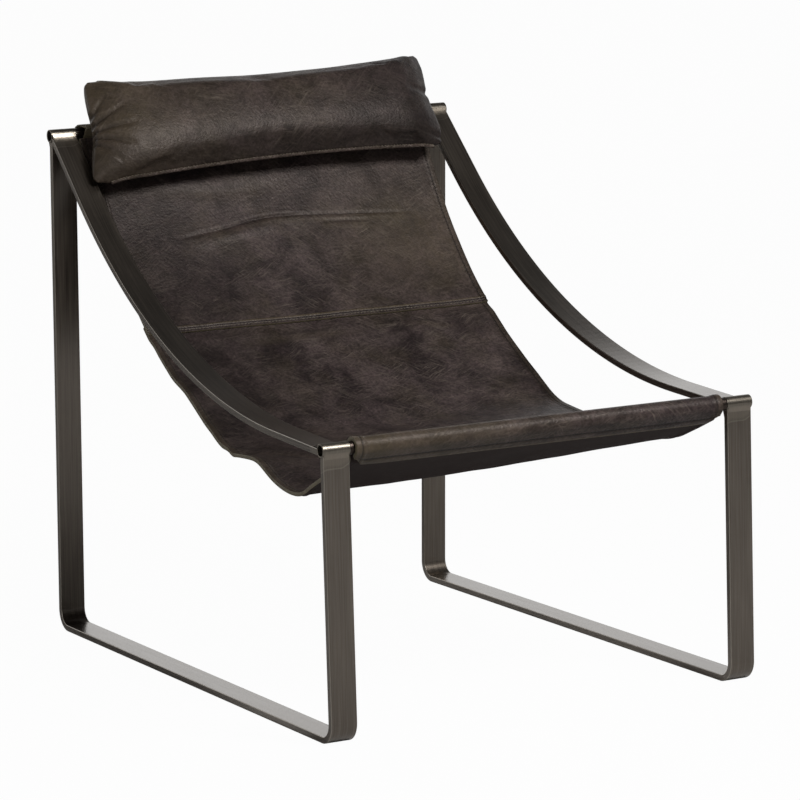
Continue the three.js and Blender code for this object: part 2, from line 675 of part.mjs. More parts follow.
// The pieces are drawn from the middle of the runners: the front pocket reaches a little past them
const outline = new THREE.Box3().setFromObject(chair);
chair.position.y = -outline.getCenter(new THREE.Vector3()).y;

export default chair;
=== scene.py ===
"""A leather sling lounge chair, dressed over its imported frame.

Metres, +Z up, the front towards -Y. Lines in side view are drawn as (y, z), and the leather's own
places are given as (across, along), where along runs over the sling from its rear hem to its front.
"""
import math
from collections import namedtuple

import bmesh
import bpy
from mathutils import Matrix, Vector, noise


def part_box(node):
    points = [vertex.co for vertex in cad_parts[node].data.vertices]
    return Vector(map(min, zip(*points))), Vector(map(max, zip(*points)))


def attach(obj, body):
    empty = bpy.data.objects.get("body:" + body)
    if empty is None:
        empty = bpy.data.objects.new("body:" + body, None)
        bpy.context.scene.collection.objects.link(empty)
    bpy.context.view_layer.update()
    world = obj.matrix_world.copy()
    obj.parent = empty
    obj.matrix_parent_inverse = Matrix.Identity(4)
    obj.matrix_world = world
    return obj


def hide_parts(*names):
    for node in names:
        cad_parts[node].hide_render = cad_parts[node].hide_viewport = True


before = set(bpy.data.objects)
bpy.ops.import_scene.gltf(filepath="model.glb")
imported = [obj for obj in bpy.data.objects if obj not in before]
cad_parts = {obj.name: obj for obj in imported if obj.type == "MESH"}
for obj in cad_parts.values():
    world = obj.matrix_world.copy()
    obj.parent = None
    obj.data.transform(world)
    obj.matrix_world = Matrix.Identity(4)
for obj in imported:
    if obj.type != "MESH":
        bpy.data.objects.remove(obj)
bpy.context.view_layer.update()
MM = 0.001
SIDES = (("left", -1), ("right", 1))  # with the sign of X


def axes_at(place, *axes):
    """A frame at a place, with these vectors as its X, Y and Z."""
    return Matrix.Translation(place) @ Matrix(axes).transposed().to_4x4()


# Camera, at the photograph's viewing angle

CAMERA_AZIMUTH = math.radians(-28.494)
CAMERA_ELEVATION = math.radians(9.051)
CAMERA_ROLL = math.radians(-1.456)
CAMERA_DISTANCE = 5.4326
CAMERA_TARGET = Vector((0.0225, 0.0027, 0.3649))
CAMERA_SENSOR = 36  # its width and the lens in millimetres
CAMERA_LENS = 172.33


def make_camera():
    """The camera as it was fitted to the photograph."""
    data = bpy.data.cameras.new("camera")
    data.sensor_fit = "HORIZONTAL"
    data.sensor_width = CAMERA_SENSOR
    data.lens = CAMERA_LENS
    data.clip_end = 200  # past the floor's far edge
    level = math.cos(CAMERA_ELEVATION)
    aside = math.sin(CAMERA_AZIMUTH) * level
    before = -math.cos(CAMERA_AZIMUTH) * level
    back = Vector((aside, before, math.sin(CAMERA_ELEVATION)))
    right = Vector((0, 0, 1)).cross(back).normalized()
    roll = Matrix.Rotation(CAMERA_ROLL, 3, back)
    place = CAMERA_TARGET + back * CAMERA_DISTANCE
    camera = bpy.data.objects.new("camera", data)
    camera.matrix_world = axes_at(place, roll @ right, roll @ back.cross(right), back)
    bpy.context.collection.objects.link(camera)
    bpy.context.scene.camera = camera


make_camera()

# Sizes read from the frame


def size_of(node_name):
    """A piece's size along X, Y and Z."""
    low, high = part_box(node_name)
    return high - low


def middle_of(node_name):
    """The middle of a piece's box."""
    low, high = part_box(node_name)
    return (low + high) / 2


FRONT_ROD = middle_of("front_rod").yz
REAR_ROD = middle_of("rear_rod").yz
ROD_LENGTH = size_of("front_rod").x
ROD_RADIUS = size_of("front_rod").z / 2
BARREL_LENGTH = size_of("left_front_barrel").x
BARREL_RADIUS = size_of("left_front_barrel").z / 2
BAR_WIDTH = size_of("left_base_loop").x
SLING_WIDTH = size_of("sling_seat_panel").x

# Sizes of the steel that the boxes don't give

BAR_THICK = 9 * MM
BAR_EDGE = 1.0 * MM
BEND_RADIUS = 24.5 * MM  # of the bar's middle line
ARM_REAR_SLOPE = math.radians(43)
ARM_FRONT_SLOPE = math.radians(3)
ARM_BEND_RADIUS = 950 * MM
ARM_DROP = 3 * MM
REAR_LEG_LEAN = 35 * MM
FRONT_LEG_LEAN = 2 * MM
WELD_BITE = 0.9 * MM  # a bar's end stops this far inside the barrel's wall
BEAD_RADIUS = 24 * MM  # of the weld between barrel and bar, ground hollow
BEAD_ROOT = 0.9  # share of the barrel's radius at which the bead starts
BEAD_STEPS = 24
BARREL_BORE = 7.2 * MM
BARREL_FLOOR = 10 * MM
BOLT_HOLE = 4.3 * MM
ROD_BORE = 6.5 * MM
TURNED_EDGE = 0.7 * MM
TURN_STEPS = 64
CORNER_ANGLE = math.radians(60)  # edges sharper than this are rounded
SHARP_ANGLE = math.radians(50)  # and the shading breaks at those sharper than this

# Sizes of the sling

LEATHER_THICK = 3.5 * MM
FIT = 0.3 * MM
POCKET_RADIUS = ROD_RADIUS + 0.6 * MM + LEATHER_THICK / 2
HEM_WIDTH = 10 * MM
FRONT_HEM = 4 * MM  # of the front pocket, past its fold
HEM_CURL = 1.2 * MM  # the front pocket's cut edge stands off the seat
CURL_FADE = 50 * MM  # and lies down again this close to the sides
HEM_CORNER = 18 * MM  # its ends are cut round
HEM_CUT = 0.7  # share of the hem that is cut away there
HEM_FOLD_RADIUS = 9 * MM
REAR_SEAM_REACH = 34 * MM
FRONT_SEAM = FRONT_ROD + Vector((6, -18.5)) * MM
KNEE = REAR_ROD + Vector((-105, -222)) * MM
FRONT_CORNER = FRONT_ROD + Vector((154, -80)) * MM
REAR_CORNER = FRONT_CORNER + Vector((269, 32)) * MM
BACK_KNEE_RADIUS = 660 * MM
SEAT_REAR_RADIUS = 140 * MM
SEAT_FRONT_RADIUS = 60 * MM
FRONT_SEAM_RADIUS = 7 * MM
SEAM_DISTANCE = 345 * MM
SEAM_LAP = 18 * MM
SEAM_BLEND = 26 * MM
DISH_DEPTH = 6 * MM
DISH_CENTRE = REAR_ROD + Vector((-530, 64)) * MM
POCKET_STRAIGHT = 60 * MM
BELLY_TILT = 13 * MM
BELLY_CURL = 7 * MM
BELLY_START = 84 * MM
BELLY_LENGTH = 200 * MM
DROOP_DEPTH = 10 * MM
DROOP_START = 128 * MM
DROOP_LENGTH = 160 * MM
DROOP_WIDTH = 110 * MM
NOTCH_X = 258 * MM
NOTCH_REACH = 11 * MM  # below the rear rod's pocket
SLACK_START = 140 * MM  # the slack left edge of the seat begins this far from the middle
TUCK_RISE = 8 * MM  # it is drawn up between these distances below the pocket
TUCK_START = (430 * MM, 490 * MM)
TUCK_END = (565 * MM, 615 * MM)
EDGE_WAVES = ((-3.5, 638, 28), (5, 708, 30), (3.5, 800, 40))  # and waves: rise, place and width in mm

# Finishing of the leather

SIDE_HEM = 11 * MM  # turned edge along both sides
HEM_THICK = 5.2 * MM  # of the leather and its turned edge together
HEM_SHIFT = 0.4 * MM  # keeps the turned edge clear of the rods
CUT_EDGE = 0.9 * MM  # rounding of cut leather
MOUTH_STRETCH = 4 * MM  # the front pocket's left mouth is pulled out along the rod
MOUTH_REACH = 40 * MM
CORNER_STRETCH = 10 * MM  # and so is the back's upper left corner, below the strap
CORNER_FADE = (40 * MM, 95 * MM)
SIDE_STITCH = 8.5 * MM  # stitch line, in from the edge
SEAM_RIDGE = 9.5 * MM  # the cross seam's rolled ridge, above the back panel's lower edge
SEAM_RIDGE_RISE = 1.0 * MM
SEAM_RIDGE_WIDTH = 1.0 * MM
SEAM_STITCH = 4 * MM
POCKET_STITCH = 11 * MM  # stitch line of the front pocket, in from its cut edge
GROOVE_DEPTH = 0.8 * MM  # stitches draw the leather in this far
GROOVE_WIDTH = 1.4 * MM
STITCH_PITCH = 5.6 * MM
STITCH_LENGTH = 3.9 * MM
STITCH_WIDTH = 1.7 * MM
STITCH_HEIGHT = STITCH_WIDTH / 1.2
FOLD_TOP = 142 * MM  # the fold across the back lies between these distances
FOLD_BOTTOM = 198 * MM
UNEVEN_DEPTH = 1.2 * MM
UNEVEN_LENGTH = 85 * MM
CALM_LENGTH = 60 * MM  # near its pockets the hide lies even
FINE_STEP = 1.5 * MM
WRAP_STEP = 1.7 * MM
HIDE_STEP = 5 * MM
SEAM_FINE = 16 * MM  # reach of the close rows above the cross seam
POCKET_FINE = 30 * MM  # and before the front pocket

# Sizes of the head pillow

PILLOW_HEIGHT = 150 * MM
PILLOW_THICK = 56 * MM
PILLOW_DROP = 8 * MM
PILLOW_GAP = 1.4 * MM
PILLOW_KICK = math.radians(8.8)
WEDGE_EASE = 0.045
HEEL_START = 24 * MM  # below the rod, where the pillow's back turns to the back panel
FULLEST = -0.1  # the filling settles below the middle of a height from -1 to 1
LEAST_FULL = 0.12
UPPER_CURVE = 0.6  # the lower, the rounder the filling above its fullest height
LOWER_CURVE = 0.85  # and below it
FACE_SHARE = 1.2  # the face is this much fuller than the mean of face and back
END_TAPER = 0.65
CORNER_ROUND = 4 * MM
END_BULGE = 3 * MM  # the ends stand out in the middle of their thickness
EDGE_BULGE = 2 * MM  # and so do the upper and lower edges
COVER_MARGIN = 3 * MM  # room for the filling to swell the cover
COVER_CUTS = 23
OUTLINE_SLICES = 30
PILLOW_HALF_WIDTH = 281 * MM
PILLOW_LEFT = 289.5 * MM  # reach of the ends from the middle
PILLOW_RIGHT = 284 * MM
LEFT_RAKE = 13 * MM  # the left end leans out towards its lower corner
END_PINCH = 8 * MM  # the straps draw the ends in
PILLOW_TOP = 56 * MM  # edges above and below the rod at mid-length
PILLOW_BOTTOM = -80.5 * MM
TOP_TILT = 5 * MM  # the edges climb to the right
TOP_EARS = 11 * MM  # and stand out at both ends
BOTTOM_TILT = 11 * MM
BOTTOM_EARS = -13 * MM
STRAP_WIDTH = 17 * MM
STRAP_THICK = 2.8 * MM
STRAP_X = 269 * MM
STRAP_FLARE = 8 * MM  # the loop stands further out than its tails
STRAP_SLACK = 2.2 * MM  # of the loop round the rod
STRAP_TAIL = 8 * MM  # sewn into the pillow
STRAP_NECK = 1.4  # of the loop's radius, where its two sides meet
STRAP_FOLD_RADIUS = 3 * MM
STRAP_WEAR = 0.45
WELT_RADIUS = 2.6 * MM
WELT_DROP = Vector((0, -0.25, -0.45)) * WELT_RADIUS  # from the pillow's edge to the cord's middle
WELT_WEAR = 0.25
WELT_LEFT = 14 * MM  # the cord stops short of the pillow's ends
WELT_RIGHT = 16 * MM
WELT_STITCH_SIDE = Vector((0, -0.8, 0.6))  # the way that the cord's stitches face
WELT_STITCH_LEAN = Vector((0, -0.6, -1)).normalized() * 0.8 * MM
WELT_STITCH_REACH = 0.45  # to each side along the cord, as a share of their spacing
WELT_STITCH_SINK = 0.9  # of the cord's radius, where their middle lies
LEAST_GRIME = 0.12  # all of the pillow has been handled
SEAM_SIDE = Vector((0, -0.35, -0.94))  # the way that the pillow's lower edge faces
GATHER_START = Vector((-290, -24))  # gathers at the left strap, in mm across and up from the rod
GATHER_GAP = 7
GATHER_FAN = math.radians(24)
GATHER_LENGTH = 68
GATHER_SHORTER = 4  # the gathers get shorter away from the middle one
GATHER_LEAD = 40  # and start this far outside the pillow
GATHER_DEPTH = 4.8
GATHER_WIDTH = 4
VOXEL = 5 * MM
INFLATE_FRAMES = 20
INFLATE_PRESSURE = 4.0
INFLATE_CAP = 8 * MM

# Lines in side view

Line = namedtuple("Line", "start heading runs")
Station = namedtuple("Station", "point heading")


def direction(angle):
    """The unit vector on a heading."""
    return Vector((math.cos(angle), math.sin(angle)))


def bearing(start, end):
    """The heading from one point to another."""
    return math.atan2(end.y - start.y, end.x - start.x)


def right_of(angle):
    """The unit normal on the right of a heading."""
    return Vector((math.sin(angle), -math.cos(angle)))


def rounded_runs(corners, radii):
    """Runs from the first corner to the last with the corners between rounded. A run is its length
    and the angle that it turns through. Where two roundings need more than the leg between them,
    they share it."""
    legs = [end - start for start, end in zip(corners, corners[1:])]
    turns = [math.atan2(a.x * b.y - a.y * b.x, a.dot(b)) for a, b in zip(legs, legs[1:])]
    needs = [radius * math.tan(abs(turn) / 2) for radius, turn in zip(radii, turns)]
    padded_needs = [0.0, *needs, 0.0]
    shares = [min(1.0, leg.length / (a + b)) for leg, a, b in zip(legs, padded_needs, padded_needs[1:])]
    reaches = [need * min(pair) for need, pair in zip(needs, zip(shares, shares[1:]))]
    runs = []
    for i, leg in enumerate(legs):
        before = reaches[i - 1] if i > 0 else 0.0
        after = reaches[i] if i < len(reaches) else 0.0
        runs.append((leg.length - before - after, 0.0))
        if i < len(reaches):
            radius = reaches[i] / math.tan(abs(turns[i]) / 2)
            runs.append((radius * abs(turns[i]), turns[i]))
    return runs


def runs_length(runs):
    """The length of several runs together."""
    return sum(length for length, turn in runs)


def station_at(line, along):
    """The point and heading at a distance along a line."""
    point, heading = line.start, line.heading
    for length, turn in line.runs:
        part = min(along, length)
        half = turn * part / length / 2 if length else 0.0
        chord = part * math.sin(half) / half if half else part
        point = point + direction(heading + half) * chord
        heading += 2 * half
        along -= part
        if along <= 0:
            break
    return Station(point, heading)


def spaced(start, end, step):
    """Even distances from start to end, both included, at most a step apart."""
    count = max(1, math.ceil((end - start) / step - 1e-6))
    return [start + (end - start) * k / count for k in range(count + 1)]


def graded(start, *stretches):
    """Distances from a start through several stretches, each given as its end and its step."""
    places = [start]
    for end, step in stretches:
        places += spaced(start, end, step)[1:]
        start = end
    return places


def tangent_point(centre, radius, outside, side):
    """Where a line from a point outside touches a circle, on one side or the other."""
    spread = math.acos(radius / (outside - centre).length)
    return centre + direction(bearing(centre, outside) + side * spread) * radius


def smooth(value, low, high):
    """0 at low and 1 at high, with an even start and end."""
    share = min(1.0, max(0.0, (value - low) / (high - low)))
    return share * share * (3 - 2 * share)


def swell(along, length):
    """0 at both ends of a length and 1 in its middle."""
    return math.sin(math.pi * min(1.0, max(0.0, along / length))) ** 2


def ridge(distance, width):
    """1 at no distance, and fading over a width."""
    return math.exp(-((distance / width) ** 2))


def evened(values, reach):
    """Each value averaged with its neighbours within a reach."""
    spans = [values[max(0, k - reach) : k + reach + 1] for k in range(len(values))]
    return [sum(span[1:], span[0]) / len(span) for span in spans]


# Making pieces


def finish_piece(name, bm, materials, body="chair_frame"):
    """Turn a bmesh into a smooth-shaded piece that rides on a body."""
    mesh = bpy.data.meshes.new(name)
    for face in bm.faces:
        face.smooth = True
    bm.to_mesh(mesh)
    bm.free()
    for material in materials:
        mesh.materials.append(material)
    piece = bpy.data.objects.new(name, mesh)
    bpy.context.collection.objects.link(piece)
    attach(piece, body)
    return piece


def new_sweep():
    """A bmesh whose points remember their distance along a sweep and their place in its section."""
    bm = bmesh.new()
    bm.verts.layers.float_vector.new("lay")
    bm.verts.layers.float.new("weld_reach")
    bm.verts.layers.float.new("wear")
    return bm


def flat_section(bm, width, thick, edge):
    """A strip's cross-section with rounded corners."""
    verts = bmesh.ops.create_grid(bm, x_segments=1, y_segments=1, size=0.5)["verts"]
    bmesh.ops.scale(bm, vec=(width, thick, 1), verts=verts)
    bmesh.ops.bevel(bm, geom=verts, offset=edge, segments=4, profile=0.5, affect="VERTICES", material=-1)
    return next(iter(bm.faces))


def sweep(bm, face, frames, worn=0.0):
    """Draw a section along a list of (distance, matrix) frames."""
    lay = bm.verts.layers.float_vector["lay"]
    wear = bm.verts.layers.float["wear"]
    reach = bm.verts.layers.float["weld_reach"]
    total = frames[-1][0]
    for vert in face.verts:
        vert[lay] = (0.0, vert.co.x, vert.co.y)
    verts = list(face.verts)
    for index, (along, matrix) in enumerate(frames):
        if index > 0:
            grown = bmesh.ops.extrude_face_region(bm, geom=[face])["geom"]
            face = next(item for item in grown if isinstance(item, bmesh.types.BMFace))
            verts = list(face.verts)
        for vert in verts:
            across, depth = vert[lay].y, vert[lay].z
            vert[lay] = (along, across, depth)
            vert[reach] = min(along, total - along)
            vert[wear] = worn
            vert.co = matrix @ Vector((across, depth, 0))
    bmesh.ops.recalc_face_normals(bm, faces=bm.faces)


def modify(piece, name, kind, **settings):
    """Add a modifier with its settings."""
    modifier = piece.modifiers.new(name, kind)
    for setting, value in settings.items():
        setattr(modifier, setting, value)


def keep_flats_flat(piece):
    """Shade wide faces flat and their rounded edges smooth."""
    modify(piece, "even_flats", "WEIGHTED_NORMAL", mode="FACE_AREA", keep_sharp=True)
    piece.data.set_sharp_from_angle(angle=SHARP_ANGLE)


# Steel frame


def weld_end(rod, corner, heading):
    """How far short of a rod's axis a bar ends, so that it ends inside the barrel's wall, and how
    much more its outer face stands back than its middle, per metre of thickness."""
    offset = (rod - corner).dot(right_of(heading))
    bite = BARREL_RADIUS - WELD_BITE
    outer, inner = (math.sqrt(bite**2 - (side * BAR_THICK / 2 - offset) ** 2) for side in (1, -1))
    return (outer + inner) / 2, (outer - inner) / BAR_THICK


def bar_frame(x, station, slant=0.0):
    """A frame whose X is the chair's, whose Y goes through the bar and whose Z runs along it."""
    ahead = direction(station.heading)
    through = right_of(station.heading) + ahead * slant
    return axes_at((x, *station.point), (1, 0, 0), (0, *through), (0, *ahead))


def flat_bar(name, node_name, corners, radii, first_rod, last_rod, steel):
    """A flat bar bent through its corners, with each end seated in the barrel on its rod."""
    x = middle_of(node_name).x
    first_heading = bearing(corners[0], corners[1])
    last_heading = bearing(corners[-2], corners[-1])
    first_trim, first_slant = weld_end(first_rod, corners[0], first_heading)
    last_trim, last_slant = weld_end(last_rod, corners[-1], last_heading)
    runs = rounded_runs(corners, radii)
    line = Line(corners[0], first_heading, runs)
    total = runs_length(runs)
    stops = [first_trim]
    walked = 0.0
    for length, turn in runs:
        steps = max(1, math.ceil(abs(math.degrees(turn))))
        stops += [walked + length * (k + 1) / steps for k in range(steps)]
        walked += length
    stops[-1] = total - last_trim
    frames = [(stop - first_trim, bar_frame(x, station_at(line, stop))) for stop in stops]
    frames[0] = (0.0, bar_frame(x, station_at(line, stops[0]), first_slant))
    frames[-1] = (stops[-1] - first_trim, bar_frame(x, station_at(line, stops[-1]), -last_slant))
    bm = new_sweep()
    sweep(bm, flat_section(bm, BAR_WIDTH, BAR_THICK, BAR_EDGE), frames)
    # The middle of each rounded edge is made pale: partly rubbed wear, partly a painted highlight
    lay = bm.verts.layers.float_vector["lay"]
    wear = bm.verts.layers.float["wear"]
    rounding = 0.9 * BAR_EDGE
    for vert in bm.verts:
        past_width = abs(vert[lay].y) > BAR_WIDTH / 2 - rounding
        past_thick = abs(vert[lay].z) > BAR_THICK / 2 - rounding
        vert[wear] = float(past_width and past_thick)
    bar = finish_piece(name, bm, [steel])
    keep_flats_flat(bar)
    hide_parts(node_name)


def loop_corners(side):
    """The corners of a side loop's middle line, from the front leg's top to the rear leg's."""
    low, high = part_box(f"{side}_base_loop")
    half = BAR_THICK / 2
    front, rear = low.y + half, high.y - half
    return [
        Vector((front + FRONT_LEG_LEAN, FRONT_ROD.y)),
        Vector((front, half)),
        Vector((rear, half)),
        Vector((rear - REAR_LEG_LEAN, REAR_ROD.y)),
    ]


def side_loop(side, steel):
    """Front leg, floor runner and rear leg, bent from one bar."""
    corners, radii = loop_corners(side), [BEND_RADIUS, BEND_RADIUS]
    flat_bar(f"{side}_side_loop", f"{side}_base_loop", corners, radii, FRONT_ROD, REAR_ROD, steel)


def arm(side, steel):
    """One bar from the rear barrel down in a long bend to the front barrel."""
    front_end = FRONT_ROD - Vector((0, ARM_DROP))
    span = REAR_ROD - front_end
    rear_climb, front_climb = math.tan(ARM_REAR_SLOPE), math.tan(ARM_FRONT_SLOPE)
    run = (span.y - front_climb * span.x) / (rear_climb - front_climb)
    elbow = REAR_ROD - Vector((run, run * rear_climb))
    corners = [REAR_ROD, elbow, front_end]
    flat_bar(f"{side}_arm", f"{side}_arm_bar", corners, [ARM_BEND_RADIUS], REAR_ROD, FRONT_ROD, steel)


def weld_bead(bm, x, rod, heading, side, face_offset):
    """A ground fillet between a barrel and one face of the bar that leaves it on a heading. The face
    is on the right of the heading for side 1, and this far from the rod's axis."""
    ahead = direction(heading)
    out = right_of(heading) * side
    reach = math.sqrt((BARREL_RADIUS + BEAD_RADIUS) ** 2 - (face_offset + BEAD_RADIUS) ** 2)
    centre = ahead * reach + out * (face_offset + BEAD_RADIUS)
    on_barrel = centre.normalized() * BARREL_RADIUS
    on_face = ahead * reach + out * face_offset
    start, end = bearing(centre, on_barrel), bearing(centre, on_face)
    turn = math.remainder(end - start, math.tau)
    angles = [start + turn * k / BEAD_STEPS for k in range(BEAD_STEPS + 1)]
    arc = [centre + direction(angle) * BEAD_RADIUS for angle in angles]
    outline = [*arc, on_face - out * WELD_BITE, on_barrel * BEAD_ROOT]
    half = BAR_WIDTH / 2 - BAR_EDGE
    verts = [bm.verts.new((x - half, *(rod + point))) for point in outline]
    grown = bmesh.ops.extrude_face_region(bm, geom=[bm.faces.new(verts)])["geom"]
    tips = [item for item in grown if isinstance(item, bmesh.types.BMVert)]
    bmesh.ops.translate(bm, vec=(2 * half, 0, 0), verts=tips)


def weld_beads(side, steel):
    """The ground welds of one side frame."""
    x = middle_of(f"{side}_base_loop").x
    half = BAR_THICK / 2
    corners = loop_corners(side)
    front_face = FRONT_ROD.x - corners[0].x + half
    rear_face = corners[-1].x - REAR_ROD.x + half
    down_rear = bearing(corners[-1], corners[-2])
    bm = new_sweep()
    weld_bead(bm, x, FRONT_ROD, -math.pi / 2, 1, front_face)
    weld_bead(bm, x, FRONT_ROD, -math.pi / 2, -1, BAR_THICK - front_face)
    weld_bead(bm, x, FRONT_ROD, ARM_FRONT_SLOPE, -1, half - ARM_DROP)
    weld_bead(bm, x, REAR_ROD, math.pi + ARM_REAR_SLOPE, 1, half)
    weld_bead(bm, x, REAR_ROD, down_rear, -1, rear_face)
    lay = bm.verts.layers.float_vector["lay"]
    for vert in bm.verts:
        vert[lay] = (vert.co.z, vert.co.x - x, vert.co.y)
    bmesh.ops.recalc_face_normals(bm, faces=bm.faces)
    beads = finish_piece(f"{side}_ground_welds", bm, [steel])
    beads.data.set_sharp_from_angle(angle=SHARP_ANGLE)


def turned(name, node_name, profile, outward, steel):
    """A piece turned about its own axis from a closed profile of (radius, distance outwards)."""
    middle = middle_of(node_name)
    bm = bmesh.new()
    verts = [bm.verts.new(middle + Vector((outward * along, 0, radius))) for radius, along in profile]
    edges = [bm.edges.new(pair) for pair in zip(verts, verts[1:] + verts[:1])]
    turn = {"cent": middle, "axis": (1, 0, 0), "angle": math.tau, "steps": TURN_STEPS, "use_merge": True}
    bmesh.ops.spin(bm, geom=verts + edges, **turn)
    bmesh.ops.remove_doubles(bm, verts=bm.verts, dist=1e-6)
    bmesh.ops.recalc_face_normals(bm, faces=bm.faces)
    corners = [edge for edge in bm.edges if edge.calc_face_angle(0) > CORNER_ANGLE]
    rounding = {"offset": TURNED_EDGE, "segments": 3, "profile": 0.5, "material": -1}
    bmesh.ops.bevel(bm, geom=corners, affect="EDGES", **rounding)
    piece = finish_piece(name, bm, [steel])
    keep_flats_flat(piece)
    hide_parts(node_name)


def end_barrel(side, end, outward, steel):
    """A barrel, bored from its outer end down to a floor with a bolt hole."""
    half = BARREL_LENGTH / 2
    profile = [
        (BOLT_HOLE, -half),
        (BARREL_RADIUS, -half),
        (BARREL_RADIUS, half),
        (BARREL_BORE, half),
        (BARREL_BORE, BARREL_FLOOR - half),
        (BOLT_HOLE, BARREL_FLOOR - half),
    ]
    turned(f"{side}_{end}_end_barrel", f"{side}_{end}_barrel", profile, outward, steel)


def cross_rod(end, steel):
    """The tube that carries one end of the sling."""
    half = ROD_LENGTH / 2
    profile = [(ROD_BORE, -half), (ROD_RADIUS, -half), (ROD_RADIUS, half), (ROD_BORE, half)]
    turned(f"{end}_cross_rod", f"{end}_rod", profile, 1, steel)


# The sling's line

Pocket = namedtuple("Pocket", "panel hem_edge hem_fold hem_touch")


def pocket(rod, seam, beyond, side, hem_width):
    """Where the panel leaves the rod, and the hem that wraps the rod and comes back to the seam."""
    along = (beyond - seam).normalized()
    inward = right_of(bearing(seam, beyond)) * side
    hem_fold = seam + inward * (LEATHER_THICK + FIT)
    return Pocket(
        panel=tangent_point(rod, POCKET_RADIUS, seam, side),
        hem_edge=hem_fold + along * hem_width,
        hem_fold=hem_fold,
        hem_touch=tangent_point(rod, POCKET_RADIUS, hem_fold, -side),
    )


def wrap_run(rod, start, end):
    """The run that winds round a rod from one point of the wrap to another."""
    turn = (bearing(rod, end) - bearing(rod, start)) % math.tau
    return (POCKET_RADIUS * turn, turn)


BACK_TOP = tangent_point(REAR_ROD, POCKET_RADIUS, KNEE, -1)
REAR_SEAM = BACK_TOP + (KNEE - BACK_TOP).normalized() * REAR_SEAM_REACH
REAR_POCKET = pocket(REAR_ROD, REAR_SEAM, KNEE, -1, HEM_WIDTH)
FRONT_POCKET = pocket(FRONT_ROD, FRONT_SEAM, FRONT_CORNER, 1, FRONT_HEM)

REAR_HEM_RUNS = rounded_runs(
    [REAR_POCKET.hem_edge, REAR_POCKET.hem_fold, REAR_POCKET.hem_touch], [HEM_FOLD_RADIUS]
)
HANGING_RUNS = rounded_runs(
    [REAR_POCKET.panel, KNEE, REAR_CORNER, FRONT_CORNER, FRONT_SEAM, FRONT_POCKET.panel],
    [BACK_KNEE_RADIUS, SEAT_REAR_RADIUS, SEAT_FRONT_RADIUS, FRONT_SEAM_RADIUS],
)
FRONT_HEM_RUNS = rounded_runs(
    [FRONT_POCKET.hem_touch, FRONT_POCKET.hem_fold, FRONT_POCKET.hem_edge], [HEM_FOLD_RADIUS]
)
REAR_WRAP = wrap_run(REAR_ROD, REAR_POCKET.hem_touch, REAR_POCKET.panel)
FRONT_WRAP = wrap_run(FRONT_ROD, FRONT_POCKET.panel, FRONT_POCKET.hem_touch)
SLING_LINE = Line(
    REAR_POCKET.hem_edge,
    bearing(REAR_POCKET.hem_edge, REAR_POCKET.hem_fold),
    [*REAR_HEM_RUNS, REAR_WRAP, *HANGING_RUNS, FRONT_WRAP, *FRONT_HEM_RUNS],
)

# Distances along the sling
BACK_START = runs_length(REAR_HEM_RUNS) + REAR_WRAP[0]  # the panel leaves the rear rod
CROSS_SEAM = BACK_START + SEAM_DISTANCE
FRONT_WRAP_START = BACK_START + runs_length(HANGING_RUNS)
FRONT_WRAP_END = FRONT_WRAP_START + FRONT_WRAP[0]
SLING_END = runs_length(SLING_LINE.runs)
FRONT_POCKET_START = FRONT_WRAP_START - (FRONT_SEAM - FRONT_POCKET.panel).length

# Folds

Crease = namedtuple("Crease", "path depth width rolled")
CREASE_TAPER = 0.6  # the lower, the blunter a crease's ends
ROLL_SLOPE = 1.65  # of a rolled crease
LIP_RISE = 0.7  # of the lips along a valley


def sling_crease(depth, width, *places, rolled=False):
    """A crease in millimetres along places across the sling and below the rear rod's pocket, from
    left to right. A rolled one stands over its lower side, and any other is a valley, or a low crest
    if its depth is below 0."""
    path = [Vector((across * MM, BACK_START + below * MM)) for across, below in places]
    return Crease(path, depth * MM, width * MM, rolled)


def crease_offset(place, crease):
    """A place's distance below a crease in widths, and how strong the crease is there."""
    path = crease.path
    if not path[0].x < place.x < path[-1].x:
        return 0.0, 0.0
    index = next(i for i in range(1, len(path)) if place.x <= path[i].x)
    run = path[index] - path[index - 1]
    line = path[index - 1] + run * ((place.x - path[index - 1].x) / run.x)
    share = (place.x - path[0].x) / (path[-1].x - path[0].x)
    return (place.y - line.y) * run.x / run.length / crease.width, math.sin(math.pi * share) ** CREASE_TAPER


def crease_relief(place, creases):
    """How far the creases raise the leather at a place."""
    rise = 0.0
    for crease in creases:
        offset, strength = crease_offset(place, crease)
        shape = -ROLL_SLOPE * offset if crease.rolled else LIP_RISE * offset**2 - 1
        rise += crease.depth * strength * shape * math.exp(-(offset**2))
    return rise


def crease_mark(place, creases):
    """How strongly the creases show at a place, from 0 to 1."""
    marks = [crease_offset(place, crease) for crease in creases if crease.depth > 0]
    return max(strength * math.exp(-(offset**2)) for offset, strength in marks)


BACK_CREASES = [
    sling_crease(2.2, 4.5, (-170, 182), (-130, 175), (-94, 170), (-50, 160), (-10, 156), (40, 157)),
    sling_crease(1.2, 4, (-40, 157), (20, 157), (82, 160), (225, 168)),
    sling_crease(-1.6, 11, (-150, 194), (-80, 181), (-10, 169)),
    sling_crease(0.9, 5, (60, 171), (145, 175)),
    sling_crease(0.8, 12, (-240, 88), (-90, 104), (40, 96), rolled=True),
]
SEAT_CREASES = [
    sling_crease(4, 10, (-300, 615), (-262, 646), (-222, 674), (-182, 702), (-100, 735), rolled=True),
    sling_crease(1, 5, (130, 360), (166, 368), (205, 380)),
    sling_crease(0.7, 8, (-150, 372), (-40, 366), (60, 371), rolled=True),
]


def unevenness(across, along):
    """Slow hollows and swellings of a hide that has been sat in."""
    broad = noise.noise(Vector((across, along, 0)) / UNEVEN_LENGTH)
    close = noise.noise(Vector((across, along, 9)) / (0.35 * UNEVEN_LENGTH))
    return UNEVEN_DEPTH * (broad + 0.3 * close)


